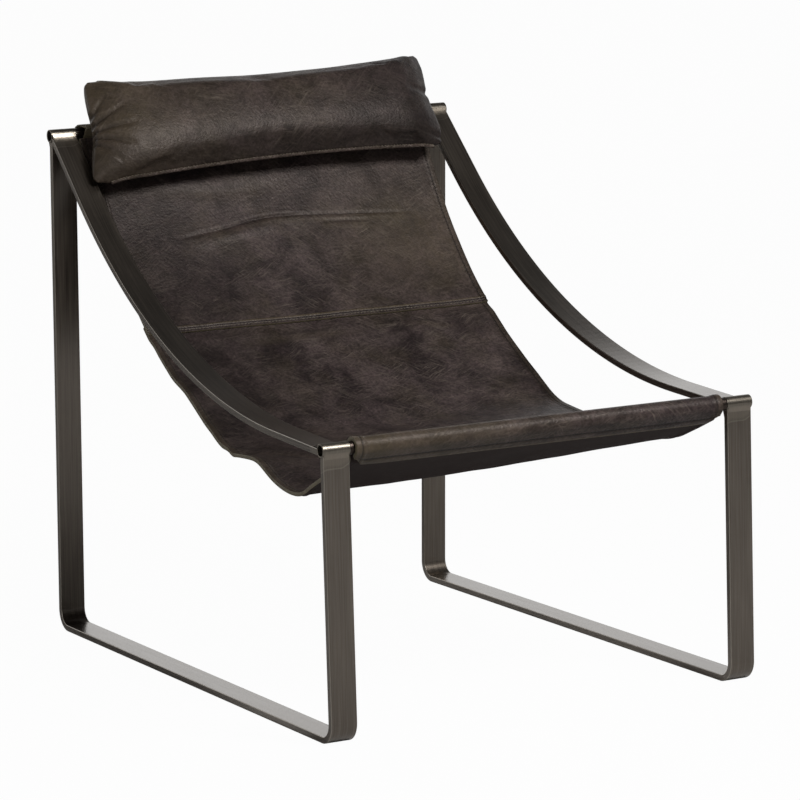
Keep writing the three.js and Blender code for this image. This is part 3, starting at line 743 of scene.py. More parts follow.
def edge_distance(across):
    """How far a place lies from the nearer side of the sling."""
    return SLING_WIDTH / 2 - abs(across)


def hem_share(across):
    """1 on the turned side edges, 0 on the plain hide."""
    return 1 - smooth(edge_distance(across), SIDE_HEM - 1.5 * MM, SIDE_HEM + 1.5 * MM)


def before_pocket(along):
    """1 on the open sling, and 0 from the front pocket on."""
    return 1 - smooth(along, FRONT_POCKET_START - CALM_LENGTH, FRONT_POCKET_START)


def relief(across, along, creases):
    """How far the leather's face stands out from its smooth hang."""
    hem = HEM_SHIFT * hem_share(across)
    groove = GROOVE_DEPTH * ridge(edge_distance(across) - SIDE_STITCH, GROOVE_WIDTH)
    folds = crease_relief(Vector((across, along)), creases)
    loose = smooth(along, BACK_START, BACK_START + CALM_LENGTH) * before_pocket(along)
    return hem + folds - groove + loose * unevenness(across, along)


def edge_wave(across, along):
    """How far the slack left edge is lifted, from the back of the seat to its front fold."""
    below = along - BACK_START
    lift = TUCK_RISE * (smooth(below, *TUCK_START) - smooth(below, *TUCK_END))
    for rise, place, width in EDGE_WAVES:
        lift += rise * MM * ridge(below - place * MM, width * MM)
    return lift * smooth(-across, SLACK_START, SLING_WIDTH / 2)


def hang(across, point):
    """Move a point of the even sling to where the leather hangs."""
    share = across / (SLING_WIDTH / 2)
    behind = point.x - FRONT_ROD.x
    span = REAR_ROD.x - FRONT_ROD.x - 2 * POCKET_STRAIGHT
    dish = DISH_DEPTH * (1 - share * share) * swell(behind - POCKET_STRAIGHT, span)
    belly = (BELLY_TILT * share + BELLY_CURL * share * share) * swell(behind - BELLY_START, BELLY_LENGTH)
    droop = DROOP_DEPTH * smooth(-across, SLING_WIDTH / 2 - DROOP_WIDTH, SLING_WIDTH / 2)
    droop *= swell(behind - DROOP_START, DROOP_LENGTH)
    away = (point - DISH_CENTRE).normalized()
    return point + away * dish + Vector((0, belly - droop))


def back_relief(across, along):
    """The back's lower end has a rolled ridge and a stitch line along the cross seam."""
    seam = SEAM_RIDGE_RISE * ridge(CROSS_SEAM - along - SEAM_RIDGE, SEAM_RIDGE_WIDTH)
    groove = GROOVE_DEPTH * ridge(CROSS_SEAM - along - SEAM_STITCH, GROOVE_WIDTH)
    return relief(across, along, BACK_CREASES) + seam - groove


def seat_relief(across, along):
    """The seat's upper end steps back behind the back panel and comes forward below the seam."""
    below = along - CROSS_SEAM
    step = (LEATHER_THICK + FIT) * (1 - smooth(below, FIT, SEAM_BLEND))
    groove = GROOVE_DEPTH * ridge(SLING_END - along - POCKET_STITCH, GROOVE_WIDTH)
    curl = HEM_CURL * smooth(along, SLING_END - FRONT_HEM, SLING_END)
    curl *= smooth(edge_distance(across), SIDE_HEM, CURL_FADE)
    return relief(across, along, SEAT_CREASES) + curl - step - groove


def cut_round(across, along):
    """Draw the ends of the front pocket's hem up, so that its corners are round."""
    corner = 1 - smooth(edge_distance(across), 0, HEM_CORNER)
    return along - HEM_CUT * corner * max(0.0, along - FRONT_WRAP_END)


def leather_point(across, along, rise, lift=0.0):
    """A point on the sling, a lift out from the middle of its thickness."""
    station = station_at(SLING_LINE, cut_round(across, along))
    hung = hang(across, station.point) + right_of(station.heading) * (rise(across, along) + lift)
    hung.y += edge_wave(across, along)
    at_mouth = smooth(along, FRONT_POCKET_START - MOUTH_REACH, FRONT_WRAP_START)
    below = along - BACK_START
    at_corner = smooth(below, 0, NOTCH_REACH) * (1 - smooth(below, *CORNER_FADE))
    leftness = max(0.0, -across / (SLING_WIDTH / 2)) ** 5
    pulled = (MOUTH_STRETCH * at_mouth + CORNER_STRETCH * at_corner) * leftness
    return Vector((across - pulled, *hung))


def dirt_and_painted_shade(across, along, creases):
    """Dirt and painted shade from 0 to 1: dirt and painted shade in the stitch lines, painted shade in the
    creases, a painted shadow below the pillow, a darker band above the fold and painted shade over the left
    side.
    """
    below = along - BACK_START
    above_seam = CROSS_SEAM - along
    # Stitch lines, darkened partly by dirt and partly by painted shade in their grooves
    lines = (
        edge_distance(across) - SIDE_STITCH,
        (SLING_END - along - POCKET_STITCH) / 1.6,
        above_seam - (SEAM_RIDGE + SEAM_STITCH) / 2,
        above_seam - SEAM_STITCH,
    )
    # Painted shade in the creases
    folds = 0.6 * crease_mark(Vector((across, along)), creases) ** 4
    above_fold = 0.28 * ridge(below - 110 * MM, 45 * MM)
    # Painted shadow below the pillow
    painted_pillow_shadow = 0.17 * (1 - smooth(below, 90 * MM, 170 * MM))
    # Painted shade, darkest towards the left edge
    painted_left_shade = 0.45 * (1 - smooth(across, -200 * MM, -20 * MM)) * before_pocket(along)
    return max(folds, above_fold, painted_pillow_shadow, painted_left_shade, *(ridge(line, GROOVE_WIDTH) for line in lines))


def pull_up(across, along, creases):
    """How far the wax has drawn off and left the hide pale: at edges, folds and rods. The pale patch on the
    back's right side is partly rub wear and partly painted light.
    """
    edge = 0.4 * (1 - smooth(edge_distance(across), 2 * MM, 16 * MM))
    leftward = 0.5 - across / SLING_WIDTH
    front = 0.75 * leftward**2 * smooth(along, FRONT_POCKET_START, FRONT_WRAP_START)
    rear = 0.4 * (1 - smooth(along, BACK_START, BACK_START + 25 * MM))
    below = along - BACK_START
    # Paler right side of the back: partly rub wear, partly painted light
    shoulder_wear_and_painted_light = 0.42 * smooth(across, 0, 190 * MM) * ridge(below - 210 * MM, 110 * MM)
    folds = 0.25 * crease_mark(Vector((across, along - 9 * MM)), creases)
    seam = 0.9 * ridge(along - CROSS_SEAM + SEAM_RIDGE, SEAM_RIDGE_WIDTH)
    hem = smooth(along, SLING_END - 3.5 * MM, SLING_END - 2 * MM)
    return min(1.0, max(edge, front, rear, shoulder_wear_and_painted_light, seam, hem) + folds)


def hide_layers(bm):
    """Layers for the hide's wear, for its dirt and painted shade, and for where on the hide each point lies.
    """
    shares = bm.verts.layers.float
    return shares.new("wear"), shares.new("dirt_shade"), bm.verts.layers.float_vector.new("lay")


def leather_panel(name, node_name, rows, rise, creases, finishes):
    """One panel of the sling: a sheet laid along its rows, given its thickness and rounded edges."""
    half = SLING_WIDTH / 2
    columns = graded(-half, (-NOTCH_X, FINE_STEP), (NOTCH_X, HIDE_STEP), (half, FINE_STEP))
    bm = bmesh.new()
    wear, dirt_shade, lay = hide_layers(bm)
    bmesh.ops.create_grid(bm, x_segments=len(columns) - 1, y_segments=len(rows) - 1, size=1)
    for vert in bm.verts:
        across = columns[round((vert.co.x + 1) / 2 * (len(columns) - 1))]
        along = rows[round((vert.co.y + 1) / 2 * (len(rows) - 1))]
        vert.co = leather_point(across, along, rise)
        vert[wear] = pull_up(across, along, creases)
        vert[dirt_shade] = dirt_and_painted_shade(across, along, creases)
        vert[lay] = (across, along, 0)
    bmesh.ops.reverse_faces(bm, faces=bm.faces)
    notch_strap_room(bm)
    panel = finish_piece(name, bm, finishes)
    hem = panel.vertex_groups.new(name="turned_edges")
    for vert in panel.data.vertices:
        hem.add([vert.index], hem_share(vert.co.x), "REPLACE")
    thicken(panel)
    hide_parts(node_name)
    return panel


def notch_strap_room(bm):
    """Cut the corners out of the rear pocket where the pillow's straps pass round the rod."""
    lay = bm.verts.layers.float_vector["lay"]
    cut = []
    for face in bm.faces:
        inner = min(abs(vert[lay].x) for vert in face.verts)
        lowest = max(vert[lay].y for vert in face.verts)
        if inner > NOTCH_X - FIT and lowest < BACK_START + NOTCH_REACH + FIT:
            cut.append(face)
    bmesh.ops.delete(bm, geom=cut, context="FACES")


def thicken(panel):
    """Give a sheet its thickness, with the flesh side behind and burnished edges."""
    modify(
        panel, "hide_thickness", "SOLIDIFY", thickness=HEM_THICK, offset=0,
        vertex_group="turned_edges", thickness_vertex_group=LEATHER_THICK / HEM_THICK,
        material_offset=1, material_offset_rim=2,
    )
    modify(
        panel, "rounded_edges", "BEVEL", width=CUT_EDGE, segments=2,
        limit_method="ANGLE", angle_limit=CORNER_ANGLE,
    )


def stitch(bm, start, end, outward):
    """One stitch of waxed thread, half sunk in the leather."""
    ahead = (end - start).normalized()
    across = outward.cross(ahead).normalized()
    place = axes_at((start + end) / 2, ahead, across, ahead.cross(across))
    sizes = Matrix.Diagonal((STITCH_LENGTH / 2, STITCH_WIDTH / 2, STITCH_HEIGHT / 2, 1))
    bmesh.ops.create_icosphere(bm, subdivisions=1, radius=1, matrix=place @ sizes)


def stitch_row(bm, places, rise, thick):
    """Stitches between pairs of places on the grain side of leather of this thickness."""
    lift = thick / 2
    for (across, along), (next_across, next_along) in zip(places, places[1:]):
        start = leather_point(across, along, rise, lift)
        end = leather_point(next_across, next_along, rise, lift)
        normal = leather_point(across, along, rise, 2 * lift) - start
        stitch(bm, start, end, normal)


def side_rows(bm, start, end, rise):
    """The stitch rows of both side hems."""
    for across in (SIDE_STITCH - SLING_WIDTH / 2, SLING_WIDTH / 2 - SIDE_STITCH):
        stitch_row(bm, [(across, along) for along in spaced(start, end, STITCH_PITCH)], rise, HEM_THICK)


def cross_row(bm, along, rise):
    """A stitch row across the sling, between its side hems."""
    reach = SLING_WIDTH / 2 - SIDE_HEM - 2 * MM
    stitch_row(bm, [(across, along) for across in spaced(-reach, reach, STITCH_PITCH)], rise, LEATHER_THICK)


def sling(finishes, pale_thread, dark_thread):
    """Both leather panels and their stitching."""
    back_rows = graded(
        0,
        (BACK_START, WRAP_STEP),
        (BACK_START + NOTCH_REACH, HIDE_STEP),
        (BACK_START + FOLD_TOP, HIDE_STEP),
        (BACK_START + FOLD_BOTTOM, FINE_STEP),
        (CROSS_SEAM - SEAM_FINE, HIDE_STEP),
        (CROSS_SEAM, FINE_STEP / 2),
    )
    seat_start = CROSS_SEAM - SEAM_LAP
    seat_rows = graded(
        seat_start,
        (CROSS_SEAM + SEAM_BLEND, 2 * FINE_STEP),
        (FRONT_POCKET_START - POCKET_FINE, HIDE_STEP),
        (SLING_END, WRAP_STEP),
    )
    back = leather_panel("back_leather", "sling_back_panel", back_rows, back_relief, BACK_CREASES, finishes)
    seat = leather_panel("seat_leather", "sling_seat_panel", seat_rows, seat_relief, SEAT_CREASES, finishes)

    bm = bmesh.new()
    cross_row(bm, CROSS_SEAM - SEAM_STITCH, back_relief)
    seam_thread = finish_piece("cross_seam_stitching", bm, [pale_thread])

    bm = bmesh.new()
    side_rows(bm, BACK_START + NOTCH_REACH, CROSS_SEAM - SEAM_RIDGE, back_relief)
    cross_row(bm, BACK_START + REAR_SEAM_REACH + HEM_WIDTH / 2, back_relief)
    cross_row(bm, HEM_WIDTH / 2, back_relief)
    back_thread = finish_piece("back_stitching", bm, [dark_thread])

    bm = bmesh.new()
    side_rows(bm, CROSS_SEAM + SEAM_STITCH, FRONT_WRAP_END, seat_relief)
    cross_row(bm, FRONT_POCKET_START - FRONT_HEM + POCKET_STITCH, seat_relief)
    cross_row(bm, SLING_END - POCKET_STITCH, seat_relief)
    seat_thread = finish_piece("seat_stitching", bm, [dark_thread])


# Head pillow, drawn about the rear rod with +Z up its own height and -Y out of its face

PILLOW_TILT = math.pi / 2 - bearing(KNEE, BACK_TOP) + PILLOW_KICK
PILLOW_BACK = -(POCKET_RADIUS + LEATHER_THICK / 2 + PILLOW_GAP)
PILLOW_PLACE = Matrix.Translation((0, *REAR_ROD)) @ Matrix.Rotation(-PILLOW_TILT, 4, "X")


def face_crease(depth, width, *places):
    """A valley in millimetres along places across the pillow's face and up from the rod."""
    return Crease([Vector(place) * MM for place in places], depth * MM, width * MM, False)


def strap_gather(place):
    """One gather of the fan at the left strap, from -2 at its bottom to 2 at its top."""
    start = GATHER_START + Vector((0, GATHER_GAP * place))
    end = start + direction(GATHER_FAN * place) * (GATHER_LENGTH - GATHER_SHORTER * place * place)
    return face_crease(GATHER_DEPTH, GATHER_WIDTH, start - Vector((GATHER_LEAD, 0)), start, end)


# Gathers at the left end and tucks at the right end
PILLOW_CREASES = [
    *[strap_gather(place) for place in range(-2, 3)],
    face_crease(3.4, 6, (225, -62), (268, -70), (330, -76)),
    face_crease(3.0, 7, (230, 6), (282, 0), (340, -4)),
]


def heel_limit(up):
    """The furthest back that the pillow may reach: the rod's pocket, and the back panel below it."""
    heel = max(0.0, -up - HEEL_START) * (math.tan(PILLOW_KICK) - WEDGE_EASE)
    return PILLOW_BACK + heel


def fullness(c):
    """How full the cover is at a height from -1 to 1."""
    share = (c - FULLEST) / (1 - FULLEST if c > FULLEST else 1 + FULLEST)
    return LEAST_FULL + (1 - LEAST_FULL) * (1 - share**2) ** (UPPER_CURVE if share > 0 else LOWER_CURVE)


def pillow_point(a, b, c, margin):
    """A point of the sewn cover from its place in a cube of half size 1, drawn in by a margin."""
    half_width = PILLOW_HALF_WIDTH - margin - CORNER_ROUND * c**12 - END_BULGE * b * b
    half_height = PILLOW_HEIGHT / 2 - margin - CORNER_ROUND * a**20 - EDGE_BULGE * b * b
    half_thick = (PILLOW_THICK / 2 - margin) * (1 - END_TAPER * a**10) * fullness(c)
    up = c * half_height - PILLOW_DROP
    out = PILLOW_BACK - PILLOW_THICK / 2 + b * half_thick * (FACE_SHARE if b < 0 else 2 - FACE_SHARE)
    return Vector((a * half_width, min(out, heel_limit(up) - margin), up))


def evaluated_mesh(piece, name):
    """A new mesh of a piece as its modifiers leave it."""
    graph = bpy.context.evaluated_depsgraph_get()
    mesh = bpy.data.meshes.new_from_object(piece.evaluated_get(graph))
    mesh.name = name
    return mesh


def keep_modified(piece, name):
    """Make what a piece's modifiers leave its own mesh."""
    mesh = evaluated_mesh(piece, name)
    piece.modifiers.clear()
    piece.data = mesh


def inflate(piece):
    """Fill the sewn cover with pressure, and keep each point near where the cutter put it."""
    cloth = piece.modifiers.new("filling", "CLOTH")
    cloth.settings.use_pressure = True
    cloth.settings.uniform_pressure_force = INFLATE_PRESSURE
    cloth.settings.effector_weights.gravity = 0
    cloth.point_cache.frame_end = INFLATE_FRAMES
    scene = bpy.context.scene
    for step in range(1, INFLATE_FRAMES + 1):
        scene.frame_set(step)
    swollen = evaluated_mesh(piece, "swollen")
    for vert, filled in zip(piece.data.vertices, swollen.vertices):
        move = filled.co - vert.co
        vert.co += move * min(1.0, INFLATE_CAP / max(move.length, 1e-9))
    piece.modifiers.remove(cloth)
    bpy.data.meshes.remove(swollen)
    scene.frame_set(1)


def sewn_cover(leather):
    """The pillow's cover: cut as a box, remeshed evenly, filled, and smoothed once."""
    bm = bmesh.new()
    bmesh.ops.create_cube(bm, size=2)
    bmesh.ops.subdivide_edges(bm, edges=bm.edges, cuts=COVER_CUTS, use_grid_fill=True)
    for vert in bm.verts:
        vert.co = pillow_point(*vert.co, COVER_MARGIN)
    cover = finish_piece("head_pillow_cover", bm, [leather], "head_pillow")
    modify(cover, "even_mesh", "REMESH", mode="VOXEL", voxel_size=VOXEL)
    keep_modified(cover, "even_cover")
    inflate(cover)
    modify(cover, "finer_mesh", "SUBSURF", levels=1, render_levels=1)
    keep_modified(cover, "smooth_cover")
    return cover


def outline_at(heights, share):
    """A height from an even list of them, at a share of the pillow's length."""
    place = share * (len(heights) - 1)
    index = min(len(heights) - 2, int(place))
    return heights[index] + (heights[index + 1] - heights[index]) * (place - index)


def slice_heights(points, left, right, pick):
    """The top or bottom of the pillow in even slices, evened out. The rounded ends take the
    heights just inside them."""
    count = OUTLINE_SLICES
    slices = [[] for k in range(count)]
    for point in points:
        slices[min(count - 1, int((point.x - left) / (right - left) * count))].append(point.z)
    raw = [pick(heights) for heights in slices]
    return evened([raw[min(count - 3, max(2, k))] for k in range(count)], 1)


def fit_to_pattern(cover):
    """Stretch the filled cover so that its outline is the one that was cut."""
    points = [vert.co.copy() for vert in cover.data.vertices]
    left = min(point.x for point in points)
    right = max(point.x for point in points)
    tops = slice_heights(points, left, right, max)
    bottoms = slice_heights(points, left, right, min)
    for vert in cover.data.vertices:
        share = (vert.co.x - left) / (right - left)
        low, high = outline_at(bottoms, share), outline_at(tops, share)
        climb = (vert.co.z - low) / (high - low)
        a = 2 * share - 1
        top = PILLOW_TOP + TOP_TILT * a + TOP_EARS * a * a
        bottom = PILLOW_BOTTOM + BOTTOM_TILT * a + BOTTOM_EARS * a * a
        vert.co.z = bottom + (top - bottom) * climb
        reach = PILLOW_RIGHT if a > 0 else PILLOW_LEFT - LEFT_RAKE * (2 * climb - 1)
        vert.co.x = a * (reach - END_PINCH * ridge(climb - 0.5, 0.25))


def gather_cover(cover):
    """Lay the filled cover against the back, draw its creases and set it in its place."""
    bm = bmesh.new()
    bm.from_mesh(cover.data)
    wear, dirt_shade, lay = hide_layers(bm)
    bm.normal_update()
    for vert in bm.verts:
        place = Vector((vert.co.x, vert.co.z))
        vert[lay] = (vert.co.x, vert.co.z, vert.co.y)
        rightward = smooth(vert.co.x, 20 * MM, 240 * MM)
        # Painted shade towards the pillow's lower edge
        painted_low_shade = smooth(-vert.co.z, 0, 80 * MM)
        # Darker towards the right end, with the painted shade below
        right_tone_and_low_shade = 0.62 * rightward + 0.58 * painted_low_shade - 0.35 * rightward * painted_low_shade
        # Painted shade in the gathers and tucks
        folds = 0.85 * crease_mark(place, PILLOW_CREASES) ** 2
        vert[dirt_shade] = max(folds, right_tone_and_low_shade, LEAST_GRIME)
        facing = smooth(-vert.normal.y, -0.6, 0.0)
        vert[wear] = 0.15 + 0.5 * smooth(-vert.co.x, 80 * MM, 260 * MM) - 0.15 * rightward
        rise = facing * crease_relief(place, PILLOW_CREASES)
        vert.co += vert.normal * (rise + UNEVEN_DEPTH * noise.noise(vert.co / UNEVEN_LENGTH))
        vert.co.y = min(vert.co.y, heel_limit(vert.co.z))
    bm.to_mesh(cover.data)
    bm.free()
    cover.data.transform(PILLOW_PLACE)
    cover.data.shade_smooth()


def lower_edge(cover, across):
    """The pillow's lowest front point at a distance across, in the pillow's own frame."""
    near = [vert.co for vert in cover.data.vertices if abs(vert.co.x - across) < VOXEL]
    return max(near, key=SEAM_SIDE.dot)


def pillow_welt(seam, leather):
    """The corded seam along the pillow's lower edge."""
    bm = new_sweep()
    bmesh.ops.create_circle(bm, cap_ends=True, segments=10, radius=WELT_RADIUS)
    frames = []
    walked = 0.0
    for index, point in enumerate(seam):
        if index > 0:
            walked += (point - seam[index - 1]).length
        ahead = (seam[min(index + 1, len(seam) - 1)] - seam[max(index - 1, 0)]).normalized()
        side = Vector((0, 0, 1)).cross(ahead).normalized()
        frames.append((walked, PILLOW_PLACE @ axes_at(point, side, ahead.cross(side), ahead)))
    sweep(bm, next(iter(bm.faces)), frames, worn=WELT_WEAR)
    welt = finish_piece("pillow_corded_welt", bm, [leather], "head_pillow")
    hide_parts("pillow_welt")


def welt_stitches(seam, thread):
    """Thread that shows across the cord, close together."""
    bm = bmesh.new()
    outward = PILLOW_PLACE.to_3x3() @ WELT_STITCH_SIDE
    for point, ahead in zip(seam, seam[1:]):
        slant = (ahead - point) * WELT_STITCH_REACH + WELT_STITCH_LEAN
        middle = point + WELT_STITCH_SIDE * WELT_RADIUS * WELT_STITCH_SINK
        stitch(bm, PILLOW_PLACE @ (middle - slant), PILLOW_PLACE @ (middle + slant), outward)
    finish_piece("welt_stitching", bm, [thread], "head_pillow")


def strap_line():
    """A strap's line in the pillow's frame: a tail, round the rod, and the other tail."""
    radius = ROD_RADIUS + STRAP_SLACK + STRAP_THICK / 2
    spread = (STRAP_THICK + FIT) / 2
    centre = Vector((0, 0))
    tail = Vector((PILLOW_BACK - STRAP_TAIL, spread))
    fold = Vector((-STRAP_NECK * radius, spread))
    touch = tangent_point(centre, radius, fold, -1)
    turn = 2 * bearing(centre, touch)
    inward = rounded_runs([tail, fold, touch], [STRAP_FOLD_RADIUS])
    return Line(tail, bearing(tail, fold), [*inward, (radius * turn, -turn), *reversed(inward)])


def pillow_strap(side, outward, leather, cut_edge):
    """A leather loop round the rod, sewn into the pillow's back."""
    line = strap_line()
    total = runs_length(line.runs)
    frames = []
    for along in spaced(0, total, WRAP_STEP):
        x = outward * (STRAP_X + STRAP_FLARE * swell(along, total))
        frames.append((along, PILLOW_PLACE @ bar_frame(x, station_at(line, along))))
    bm = new_sweep()
    sweep(bm, flat_section(bm, STRAP_WIDTH, STRAP_THICK, CUT_EDGE), frames, worn=STRAP_WEAR)
    lay = bm.verts.layers.float_vector["lay"]
    for face in bm.faces:
        if min(abs(vert[lay].y) for vert in face.verts) > STRAP_WIDTH / 2 - STRAP_THICK / 2:
            face.material_index = 1
    strap = finish_piece(f"pillow_{side}_rod_strap", bm, [leather, cut_edge], "head_pillow")
    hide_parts(f"pillow_{side}_strap")


def head_pillow(leather, cut_edge, thread):
    """The filled cover, its corded seam and its straps."""
    cover = sewn_cover(leather)
    fit_to_pattern(cover)
    places = spaced(WELT_LEFT - PILLOW_LEFT, PILLOW_RIGHT - WELT_RIGHT, VOXEL)
    edge = [lower_edge(cover, across) for across in places]
    seam = [point + WELT_DROP for point in evened(edge, 2)]
    gather_cover(cover)
    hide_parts("pillow_cover", "pillow_filling")
    pillow_welt(seam, leather)
    welt_stitches(seam, thread)
    for side, outward in SIDES:
        pillow_strap(side, outward, leather, cut_edge)


# Finishes


def linear(hex_colour):
    """An sRGB hex colour as linear red, green, blue and alpha."""
    shares = [int(hex_colour[i : i + 2], 16) / 255 for i in (1, 3, 5)]
    curved = [((share + 0.055) / 1.055) ** 2.4 for share in shares]
    return [curve if share > 0.04045 else share / 12.92 for share, curve in zip(shares, curved)] + [1.0]


def per_metre(size_mm):
    """The pattern scale at which one feature has this size."""
    return 1000 / size_mm


def node(tree, kind, inputs=None, **settings):
    """Add one shader node with its settings, set or link its inputs, and give its outputs."""
    made = tree.nodes.new("ShaderNode" + kind)
    for name, value in settings.items():
        setattr(made, name, value)
    for socket, value in (inputs or {}).items():
        if isinstance(value, bpy.types.NodeSocket):
            tree.links.new(value, made.inputs[socket])
        else:
            made.inputs[socket].default_value = value
    return made.outputs


def empty_tree(owner):
    """The cleared node tree of a new material or world."""
    owner.use_nodes = True
    owner.node_tree.nodes.clear()
    return owner.node_tree


def start_material(name, **sockets):
    """A material with one shader, whose constant sockets are set here."""
    material = bpy.data.materials.new(name)
    tree = empty_tree(material)
    constants = {key.replace("_", " "): value for key, value in sockets.items()}
    surface = node(tree, "BsdfPrincipled", constants)[0]
    node(tree, "OutputMaterial", {"Surface": surface})
    return material, tree, surface.node.inputs


def waxed_leather():
    """Full-grain hide, drum-dyed and waxed: a dull purple brown with olive patches, fine pale rub
    marks, and paler wax wherever it is bent or rubbed."""
    material, tree, shader = start_material(
        "waxed_pull_up_leather", Specular_IOR_Level=0.42, Specular_Tint=linear("#ddd2cb")
    )
    hide = node(tree, "Attribute", attribute_name="lay")["Vector"]
    worn = node(tree, "Attribute", attribute_name="wear")["Fac"]
    # Dirt and painted shade, mixed in as a dark tint last
    dirt_and_shade = node(tree, "Attribute", attribute_name="dirt_shade")["Fac"]

    # Broad patches of lighter dye, and olive stains between them
    patch = {"Vector": hide, "Scale": per_metre(70), "Detail": 6.0, "Roughness": 0.62, "Distortion": 0.6}
    patches = node(tree, "TexNoise", patch)["Fac"]
    pale = node(tree, "MapRange", {"Value": patches, "From Min": 0.4, "From Max": 0.63})["Result"]
    dyed = node(tree, "Mix", {0: pale, 6: linear("#251d1e"), 7: linear("#483d3c")}, data_type="RGBA")[2]
    shifted = node(tree, "Mapping", {"Vector": hide, "Location": (3.1, 1.7, 0.4)})["Vector"]
    stain = {"Vector": shifted, "Scale": per_metre(80), "Detail": 5.0, "Roughness": 0.62}
    stains = node(tree, "TexNoise", stain)["Fac"]
    stain_range = {"Value": stains, "From Min": 0.48, "From Max": 0.75, "To Max": 0.4}
    olive = node(tree, "MapRange", stain_range)["Result"]
    stained = node(tree, "Mix", {0: olive, 6: dyed, 7: linear("#453d2d")}, data_type="RGBA")[2]

    # Cloudy mottling of the wax, and pores drawn coarser than they are so that they show
    cloud = {"Vector": hide, "Scale": per_metre(20), "Detail": 7.0, "Roughness": 0.75}
    clouds = node(tree, "TexNoise", cloud)["Fac"]
    cloud_range = {"Value": clouds, "From Min": 0.34, "From Max": 0.66, "To Min": 0.64, "To Max": 1.34}
    cloudy = node(tree, "MapRange", cloud_range)["Result"]
    pore = {"Vector": hide, "Scale": per_metre(4.5), "Detail": 4.0, "Roughness": 0.6}
    pores = node(tree, "TexNoise", pore)["Fac"]
    pore_range = {"Value": pores, "From Min": 0.4, "From Max": 0.6, "To Min": 0.66, "To Max": 1.34}
    porous = node(tree, "MapRange", pore_range)["Result"]
    shade = node(tree, "Math", {0: cloudy, 1: porous}, operation="MULTIPLY")[0]
    grey = node(tree, "CombineColor", {0: shade, 1: shade, 2: shade})[0]
    mottle = {0: 1.0, 6: stained, 7: grey}
    colour = node(tree, "Mix", mottle, data_type="RGBA", blend_type="MULTIPLY")[2]

    # Rub marks: bent, short pale strokes in three directions that come and go
    bend = node(tree, "TexNoise", {"Vector": hide, "Scale": per_metre(40)})["Color"]
    bent = node(tree, "VectorMath", {0: bend, 1: [14 * MM] * 3, 2: hide}, operation="MULTIPLY_ADD")["Vector"]
    stroke_scale = [per_metre(size) for size in (36, 2.6, 36)]
    rub = 0.0
    for turn, seed in ((0.5, 2.3), (-0.75, 5.1), (0.1, 8.7)):
        turned_hide = {"Vector": bent, "Location": (seed, 0, seed), "Rotation": (0, 0, turn)}
        moved = node(tree, "Mapping", turned_hide)["Vector"]
        stretched = node(tree, "VectorMath", {0: moved, 1: stroke_scale}, operation="MULTIPLY")["Vector"]
        stroke = {"Vector": stretched, "Scale": 1.0, "Detail": 3.0, "Roughness": 0.7}
        strokes = node(tree, "TexNoise", stroke)["Fac"]
        lines = node(tree, "MapRange", {"Value": strokes, "From Min": 0.5, "From Max": 0.72})["Result"]
        zone = {"Vector": moved, "Scale": per_metre(50), "Detail": 4.0, "Roughness": 0.7}
        zones = node(tree, "TexNoise", zone)["Fac"]
        shown = node(tree, "MapRange", {"Value": zones, "From Min": 0.42, "From Max": 0.66})["Result"]
        marks = node(tree, "Math", {0: lines, 1: shown}, operation="MULTIPLY")[0]
        rub = node(tree, "Math", {0: rub, 1: marks}, operation="MAXIMUM")[0]

    # Over the dye lie the rub marks, then wax that has drawn off, then dirt and painted shade
    drawn_off = node(tree, "Math", {0: worn, 1: cloudy}, operation="MULTIPLY")[0]
    for layer, most, tint in ((rub, 0.9, "#6b6058"), (drawn_off, 0.7, "#5b503c"), (dirt_and_shade, 0.85, "#120d0b")):
        share = node(tree, "Math", {0: layer, 1: most}, operation="MULTIPLY")[0]
        colour = node(tree, "Mix", {0: share, 6: colour, 7: linear(tint)}, data_type="RGBA")[2]
    tree.links.new(colour, shader["Base Color"])
    gloss_range = {"Value": clouds, "From Min": 0.3, "From Max": 0.7, "To Min": 0.54, "To Max": 0.4}
    tree.links.new(node(tree, "MapRange", gloss_range)["Result"], shader["Roughness"])

    # Pebbled grain, drawn about twice its real size so that it shows
    pebble = {"Vector": hide, "Scale": per_metre(3.2)}
    pebbles = node(tree, "TexVoronoi", pebble, feature="SMOOTH_F1")["Distance"]
    grain = node(tree, "Math", {0: pebbles, 1: pores}, operation="ADD")[0]
    bump = node(tree, "Bump", {"Height": grain, "Strength": 0.4, "Distance": 0.9 * MM})
    tree.links.new(bump["Normal"], shader["Normal"])
    return material


